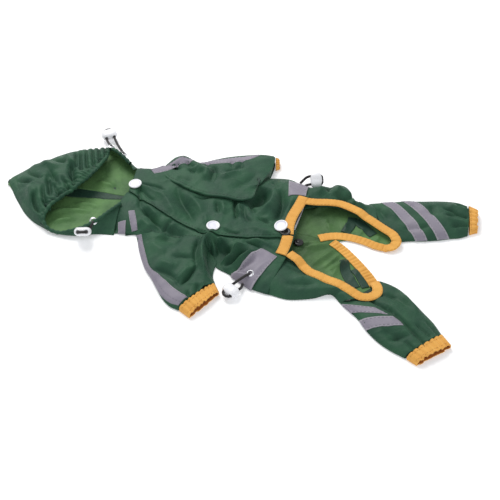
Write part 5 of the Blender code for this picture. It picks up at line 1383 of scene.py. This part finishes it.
def wrapPiece(node, on, rows, count, across):
    # tape round the folded body: rows are left x, y, right x, y and a height, or None where it is laid on
    table = np.array([(*row[:4], row[4] or 0.0, float(row[4] is None)) for row in rows])
    lift = tape["lift"] + tape["wall"]
    resting = restOn(on, 0.5 * (table[:, 0] + table[:, 2]), 0.5 * (table[:, 1] + table[:, 3])) + lift
    table[:, 4] = np.where((table[:, 5] > 0) & (resting > 0), resting, table[:, 4])
    middle = 0.5 * (table[:, :2] + table[:, 2:4])
    step = np.linalg.norm(np.diff(middle, axis=0), axis=1) + np.abs(np.diff(table[:, 4]))
    knots = np.concatenate([[0.0], np.cumsum(np.maximum(step, 0.6))])
    s = np.linspace(0, knots[-1], count)
    data = np.stack([np.interp(s, knots, table[:, k]) for k in range(6)], -1)
    v = np.linspace(0, 1, across)[None, :, None]
    grid = np.zeros((count, across, 3))
    grid[..., :2] = data[:, None, 0:2] + (data[:, None, 2:4] - data[:, None, 0:2]) * v
    rest = restOn(on, grid[..., 0], grid[..., 1]) + lift
    laidOn = data[:, None, 5] * (rest > 0)
    grid[..., 2] = laidOn * np.maximum(rest, 1.0) + (1 - laidOn) * data[:, None, 4]
    if (data[:, 5] > 0.6).any():
        remember(node, grid[data[:, 5] > 0.6])
    j = gridCorners(count, across, False)[1]
    tapePiece(node, grid, abs((j + 0.5) / (across - 1) - 0.5) > 0.43, (0, 0, -1))
    return grid, data[:, 5] > 0.9


waistRows = (
    (12.2, -6.5, 28.4, -12.4, None), (6.8, -15.5, 25.2, -22, None), (0.4, -27, 20.3, -35.5, None),
    (-3.2, -33.2, 17.5, -43.4, None), (-6.7, -38.3, 15.5, -49.4, 2.6), (-6.9, -38.9, 15.2, -50.2, 1.2),
    (-6.0, -36.6, 15.4, -47.6, 0.15), (-0.4, -20, 20.2, -24, 0.15), (4.9, 0, 25.4, 0, 0.15),
    (10.0, 28, 30.4, 28, 0.15), (12.1, 60, 32.3, 60, 0.15), (10.8, 92, 31.4, 88, 0.15),
    (10.5, 98.9, 31.2, 93.6, 0.15), (10.5, 101.2, 31.0, 96.4, 1.2), (10.6, 100.5, 31.0, 95.9, 2.6),
    (11.6, 93.5, 31.2, 90, None), (14.3, 82, 32.0, 82, None), (17, 70.5, 33, 74.0, None),
)
waistGrid, shown = wrapPiece("waist_tape", trunk, waistRows, 190, 25)
nearShown, farShown = int(np.argmin(shown)), len(shown) - int(np.argmin(shown[::-1]))
for column in (1.6, 22.4):
    stitch("grayThread", line(waistGrid, column, 0, nearShown), 0.05)
    stitch("grayThread", line(waistGrid, column, farShown), 0.05)
neckRows = (
    (-124.6, -3.8, -117.5, -1.8, None), (-122.9, -9, -116.2, -7, None), (-121.6, -12, -115, -10.8, None),
    (-121.4, -13.9, -114.8, -12.7, 1.4), (-121.6, -12.4, -115.0, -11.6, 0.15), (-124.0, 5, -116.6, 5, 0.15),
    (-127.2, 30, -119.8, 30, 0.15), (-130.9, 55, -122.8, 55, 0.15), (-132.2, 76, -125.3, 76, 0.15),
    (-132.2, 79.3, -125.6, 79.3, 1.5), (-132.3, 77.6, -125.8, 77.6, 3.2), (-132.6, 73.8, -126.4, 73.8, 4.6),
)
wrapPiece("neck_tape", ["belly_near"], neckRows, 110, 11)

# way: x, y, width
shoulderTapes = {
    "shoulder_tape_near": {"on": ["belly_near", "sleeve_near"], "count": 30,
                           "way": ((-116.3, 10, 6.2), (-112.2, 2, 6.6), (-106.8, -8.6, 5.6))},
    "shoulder_tape_far": {"on": ["belly_far", "sleeve_far"], "count": 48,
                          "way": ((-116.2, 68.0, 9.5), (-107.1, 75.9, 10.5), (-99.3, 85.3, 10.5),
                                  (-91, 91.2, 8.5), (-84.5, 94.6, 4.0))},
    "sleeve_tape_far": {"on": ["sleeve_far"], "count": 60,
                        "way": ((-81.0, 95.8, 3.5), (-72, 97.0, 7.5), (-60, 101.0, 10.5), (-47, 106.8, 11.5),
                                (-36, 113.5, 9.5), (-25.5, 124.0, 2.0))},
}
for node, row in shoulderTapes.items():
    grid = strip(node + "_cloth", row["on"], row["way"], row["count"], ["gray", "grayEdge"],
                 [node], across=17, lift=tape["lift"], least=0.6, wall=tape["wall"])
    for column in (2.0, 14.0):
        stitch("grayThread", line(grid, column), 0.05)

# corners: start left, end left, end right, start right; the named ends go down round the side fold
legTapes = {
    "leg_tape_near_a": {"on": ["leg_near"], "ends": ["start"],
                        "corners": ((95.6, -45.0), (123.6, -46.4), (136.0, -52.8), (106.0, -52.6))},
    "leg_tape_near_b": {"on": ["leg_near"], "ends": ["start"],
                        "corners": ((114.0, -59.0), (142.0, -53.4), (153.0, -60.6), (122.4, -68.6))},
    "leg_tape_far_a": {"on": ["leg_far"], "ends": ["start", "end"],
                       "corners": ((101.5, 91.4), (140.0, 51.6), (150.4, 55.2), (112.0, 95.4))},
    "leg_tape_far_b": {"on": ["leg_far"], "ends": ["start", "end"],
                       "corners": ((119.5, 98.2), (158.6, 58.4), (169.0, 63.2), (130.5, 101.6))},
}


def quadTape(node, row):
    # tape between four corners, blended both ways and laid on the cloth below
    a, b, c, d = (np.array(corner, float) for corner in row["corners"])
    t, v = (k[..., None] for k in mesh2d(46, 15))
    grid = np.zeros((46, 15, 3))
    grid[..., :2] = (1 - t) * (1 - v) * a + t * (1 - v) * b + t * v * c + (1 - t) * v * d
    grid[..., 2] = np.maximum(restOn(row["on"], grid[..., 0], grid[..., 1]) + tape["lift"], 1.2)
    for column in (1.8, 12.2):
        stitch("grayThread", line(grid, column), 0.05)
    for end in row["ends"]:
        grid = rolled(grid, end, turned(grid, end)[0, :, 2] - 0.5, back=0.5, bulge=0.95)
    j = gridCorners(grid.shape[0], 15, False)[1]
    tapePiece(node, grid, (j < 2) | (j > 11))


for node, row in legTapes.items():
    quadTape(node, row)

# the tape runs on the outer fold of the near sleeve, then leaves it toward the cuff
sleeveTapeInner = profile((0, 0.05), (0.3, 0.045), (0.5, 0.05), (0.62, 0.11), (0.8, 0.21), (1, 0.30))
sleeveTapeOuter = profile((0, 0.004), (0.5, 0.004), (0.7, 0.012), (0.85, 0.05), (1, 0.10))
t, v = mesh2d(120, 15)
t = 0.02 + 0.965 * t
u = sleeveTapeOuter(t) + (sleeveTapeInner(t) - sleeveTapeOuter(t)) * v
grid = sleeveNearTop(t, u)
grid[..., 2] = np.maximum(sleeveNearHeight(grid[..., 0], grid[..., 1], t, u), 0.9) + tape["lift"] + 0.25
for column in (1.6, 12.6):
    stitch("grayThread", line(grid, column), 0.05)
grid = rolled(grid, "left", grid[:, 0, 2] - 0.5, back=0.5, bulge=0.95)
tapePiece("sleeve_tape_near", grid, gridCorners(grid.shape[0], grid.shape[1], False)[1] > 18)

print("snaps, eyelets and locks")


def turnedPiece(name, rows, centre, axis, mats, nodes, split=None, sides=56, close=False):
    # solid of revolution: rows are radius and height along the axis, carried round it, and a closed profile
    # makes a ring. Rows from split[0] to split[1] take the second material
    axis = unit(np.array(axis, float))
    e1 = unit(np.cross(axis, (1.0, 0, 0) if abs(axis[0]) < 0.8 else (0, 1.0, 0)))
    e2 = np.cross(axis, e1)
    rows = np.array(rows + (rows[:1] if close else []), float)
    a = np.arange(sides) * 2 * math.pi / sides
    ring = np.cos(a)[:, None] * e1 + np.sin(a)[:, None] * e2
    grid = np.array(centre, float) + rows[:, None, 1:] * axis + rows[:, None, :1] * ring[None]
    p, faces, uv = gridSheet(grid, None, True)
    i = gridCorners(len(rows), sides, True)[0]
    # faces point away from the hub: the piece's middle, or the middle of the ring's own section
    hub = np.array(centre) + axis * rows[:, 1].mean()
    if close:
        hub = grid.mean(1)[i] + unit(p[faces[:, 0]] - grid.mean(1)[i]) * rows[:, 0].mean()
    outward = np.cross(p[faces[:, 1]] - p[faces[:, 0]], p[faces[:, 3]] - p[faces[:, 0]])
    if (outward * (p[faces].mean(1) - hub)).sum() < 0:
        faces, uv = faces[:, ::-1], uv[:, ::-1]
    index = None if split is None else ((i >= split[0]) & (i < split[1])).astype(int)
    addPiece(name, p, faces, mats, nodes, uv, 0.0, index)


def arc(points, count=5):
    # rounds a profile: the same corners, joined by a smooth curve
    way = route(*points)
    return [tuple(row[:2]) for row in way(np.linspace(0, 1, count * len(points)))]


# profiles are radius and height
capRim = [(5.9, 0.1), (6.2, 0.7), (6.1, 1.25), (5.6, 1.65), (5.1, 1.62), (4.7, 1.35), (4.3, 1.22)]
capProfile = [(0.001, 0.0), (5.2, 0.0)] + arc(capRim, 4) + [(3.0, 1.2), (1.5, 1.24), (0.001, 1.25)]
capDish = 24  # from this row of the profile on, the dish inside the rim
socketProfile = ([(0.001, 0.0), (4.4, 0.0)] + arc([(4.8, 0.2), (4.9, 0.7), (4.5, 1.15), (3.6, 1.2)], 3)
                 + [(3.0, 1.0), (2.0, 0.95), (1.6, 0.4), (0.001, 0.4)])
studProfile = ([(0.001, 0.0), (4.0, 0.0)] + arc([(4.3, 0.3), (4.35, 0.9), (4.0, 1.5), (3.2, 1.8)], 3)
               + [(2.3, 1.8), (2.1, 2.0), (1.9, 2.4), (0.001, 2.5)])
eyeletProfile = arc([(2.0, 0.15), (2.0, 0.75), (2.35, 1.05), (2.8, 0.85), (3.3, 0.5), (3.6, 0.2), (3.5, -0.1),
                     (2.6, -0.15)], 4)
snaps = {
    "snap_throat": {"place": (-125.0, 44.6), "on": ["belly_near", "belly_far"], "axis": (-0.10, -0.02, 1),
                    "lift": 0.1},
    "snap_belly": {"place": (-37.0, 8.0), "on": ["belly_near", "belly_far"], "axis": (0.0, 0.02, 1),
                   "lift": -0.4},
    "snap_hem": {"place": (22.6, 22.8), "on": ["belly_far", "hem_far"], "axis": (-0.16, -0.20, 1),
                 "lift": 0.9},
}


def snapPiece(node, row):
    # cap: a dished disc with a round rim, as high as the highest cloth under that rim, and lift
    x, y = row["place"]
    axis = row["axis"]
    ring = np.linspace(0, 2 * math.pi, 24, endpoint=False)
    px, py = x + 5.6 * np.cos(ring), y + 5.6 * np.sin(ring)
    z = float((restOn(row["on"], px, py) + (axis[0] * (px - x) + axis[1] * (py - y)) / axis[2]).max())
    # the dish rows take the painted-shade colour
    turnedPiece(node + "_cap", capProfile, (x, y, z + row["lift"]), axis, ["white", "dishShade"],
                [node], (capDish, len(capProfile)))


def heightAt(names, x, y):
    return float(restOn(names, np.array([x]), np.array([y]))[0])


for node, row in snaps.items():
    snapPiece(node, row)
socketHigh = heightAt(["belly_far", "hem_far"], 27.6, 18.6) + 0.15
turnedPiece("snap_hem_socket_cap", socketProfile, (27.6, 18.6, socketHigh), (0.02, -0.05, 1), ["black"],
            ["snap_hem_socket"])
turnedPiece("snap_inner_cap", studProfile, (40.4, 18.2, 2.6), (0, 0, 1), ["black"],
            ["snap_inner"])

eyelets = {
    "eyelet_hood_near_a": {"centre": (-144.4, -13.4, 10.6), "axis": (0.25, -0.62, 0.74), "lift": 0.2},
    "eyelet_hood_near_b": {"centre": (-155.6, -25.4, 6.2), "axis": (0.20, -0.94, 0.28), "lift": 0.2},
    "eyelet_hood_far_a": {"centre": (-165.9, 89.4, 12.4), "axis": (0.10, 0.35, 0.93), "lift": 0.2},
    "eyelet_hood_far_b": {"centre": (-151.2, 83.4, 11.4), "axis": (0.25, 0.35, 0.90), "lift": 0.2},
    "eyelet_waist_near": {"centre": (10.6, -36.4, heightAt(["waist_tape"], 10.6, -36.4)),
                          "axis": (-0.10, -0.25, 0.96), "lift": 0.4},
}
for node, row in eyelets.items():
    # rolled metal ring: a flat washer with a round inner lip; lift moves it along its axis onto the cloth
    axis = unit(np.array(row["axis"], float))
    turnedPiece(node + "_ring", eyeletProfile, np.array(row["centre"]) + axis * row["lift"], axis, ["silver"],
                [node], None, 40, True)


def softPower(value, power):
    return np.sign(value) * np.abs(value) ** power


def lockPiece(key):
    # bean: |sin b|^0.8 along and cos(b)^0.62 across, times |cos a|^0.85 one way and |sin a|^0.85 the other,
    # dented at both cord holes
    middle, along, wide = held[key]
    thin = np.cross(along, wide)
    b = np.linspace(-0.5 * math.pi, 0.5 * math.pi, 60)[:, None]
    a = np.arange(72)[None] * 2 * math.pi / 72
    r = np.maximum(np.cos(b), 0) ** 0.62
    x = lockSize["wide"] * r * softPower(np.cos(a), 0.85)
    y = lockSize["thin"] * r * softPower(np.sin(a), 0.85)
    y = y * (1 - 0.10 * np.exp(-(x / 3.0) ** 2))
    hole = np.minimum(np.hypot(x - lockSize["pitch"], y), np.hypot(x + lockSize["pitch"], y))
    dent = np.exp(-(hole / lockSize["hole"]) ** 4)
    z = lockSize["long"] * softPower(np.sin(b), 0.8) * (1 - 0.45 * dent)
    grid = middle + z[..., None] * along + x[..., None] * wide + y[..., None] * thin
    # the dents at the cord holes are black: partly the black cord in them, partly painted shade of the holes
    deep = dent.ravel()[gridCorners(60, 72, True)[2]].mean(1) > 0.45
    clothPiece("lock_" + key + "_bean", [(grid, None)], ["white", "black"], ["lock_" + key],
               0.0, True, deep.astype(int))


for key in held:
    lockPiece(key)

print("seams")
armSeam = armNear(np.linspace(0.03, 0.97, 140)) + (0, 1.2, 0)
legSeam = route((116, -37.5), (127, -44.5), (140, -52.5), (152, -61.5), (163, -70.5), (172, -77.5))
for path, cloths in ((armSeam, ["belly_near"]), (legSeam(np.linspace(0, 1, 120)), ["leg_near"])):
    path[:, 2] = restOn(cloths, path[:, 0], path[:, 1])
    stitch("thread", path, 0.1)
sewAll("stitches_green", "thread")
sewAll("stitches_orange", "orangeThread")
sewAll("stitches_gray", "grayThread")

print("floor")
floorMat, floorTree, floorShader = shaderNodes("white_floor")
place = floorTree.nodes.new("ShaderNodeTexCoord").outputs["Object"]
cloud = addNode(floorTree, "ShaderNodeTexNoise", Scale=3.0, Detail=2.0)
floorTree.links.new(place, cloud.inputs["Vector"])
floorShade = ramp(floorTree, cloud.outputs["Fac"], (0.2, 0.985), (0.8, 1.0))
floorColour = mixColour(floorTree, 1.0, (0.93, 0.93, 0.94, 1), floorShade, "MULTIPLY")
floorTree.links.new(floorColour, floorShader.inputs["Base Color"])
floorShader.inputs["Roughness"].default_value = 0.9
floorShader.inputs["Emission Color"].default_value = (1, 1, 1, 1)
floorShader.inputs["Emission Strength"].default_value = 0.16
floorShader.inputs["Specular IOR Level"].default_value = 0.1
floorMesh = bpy.data.meshes.new("floor")
floorMesh.from_pydata([(-4, -4, 0), (4, -4, 0), (4, 4, 0), (-4, 4, 0)], [], [(0, 1, 2, 3)])
floorMesh.materials.append(floorMat)
floor = bpy.data.objects.new("floor", floorMesh)
scene.collection.objects.link(floor)
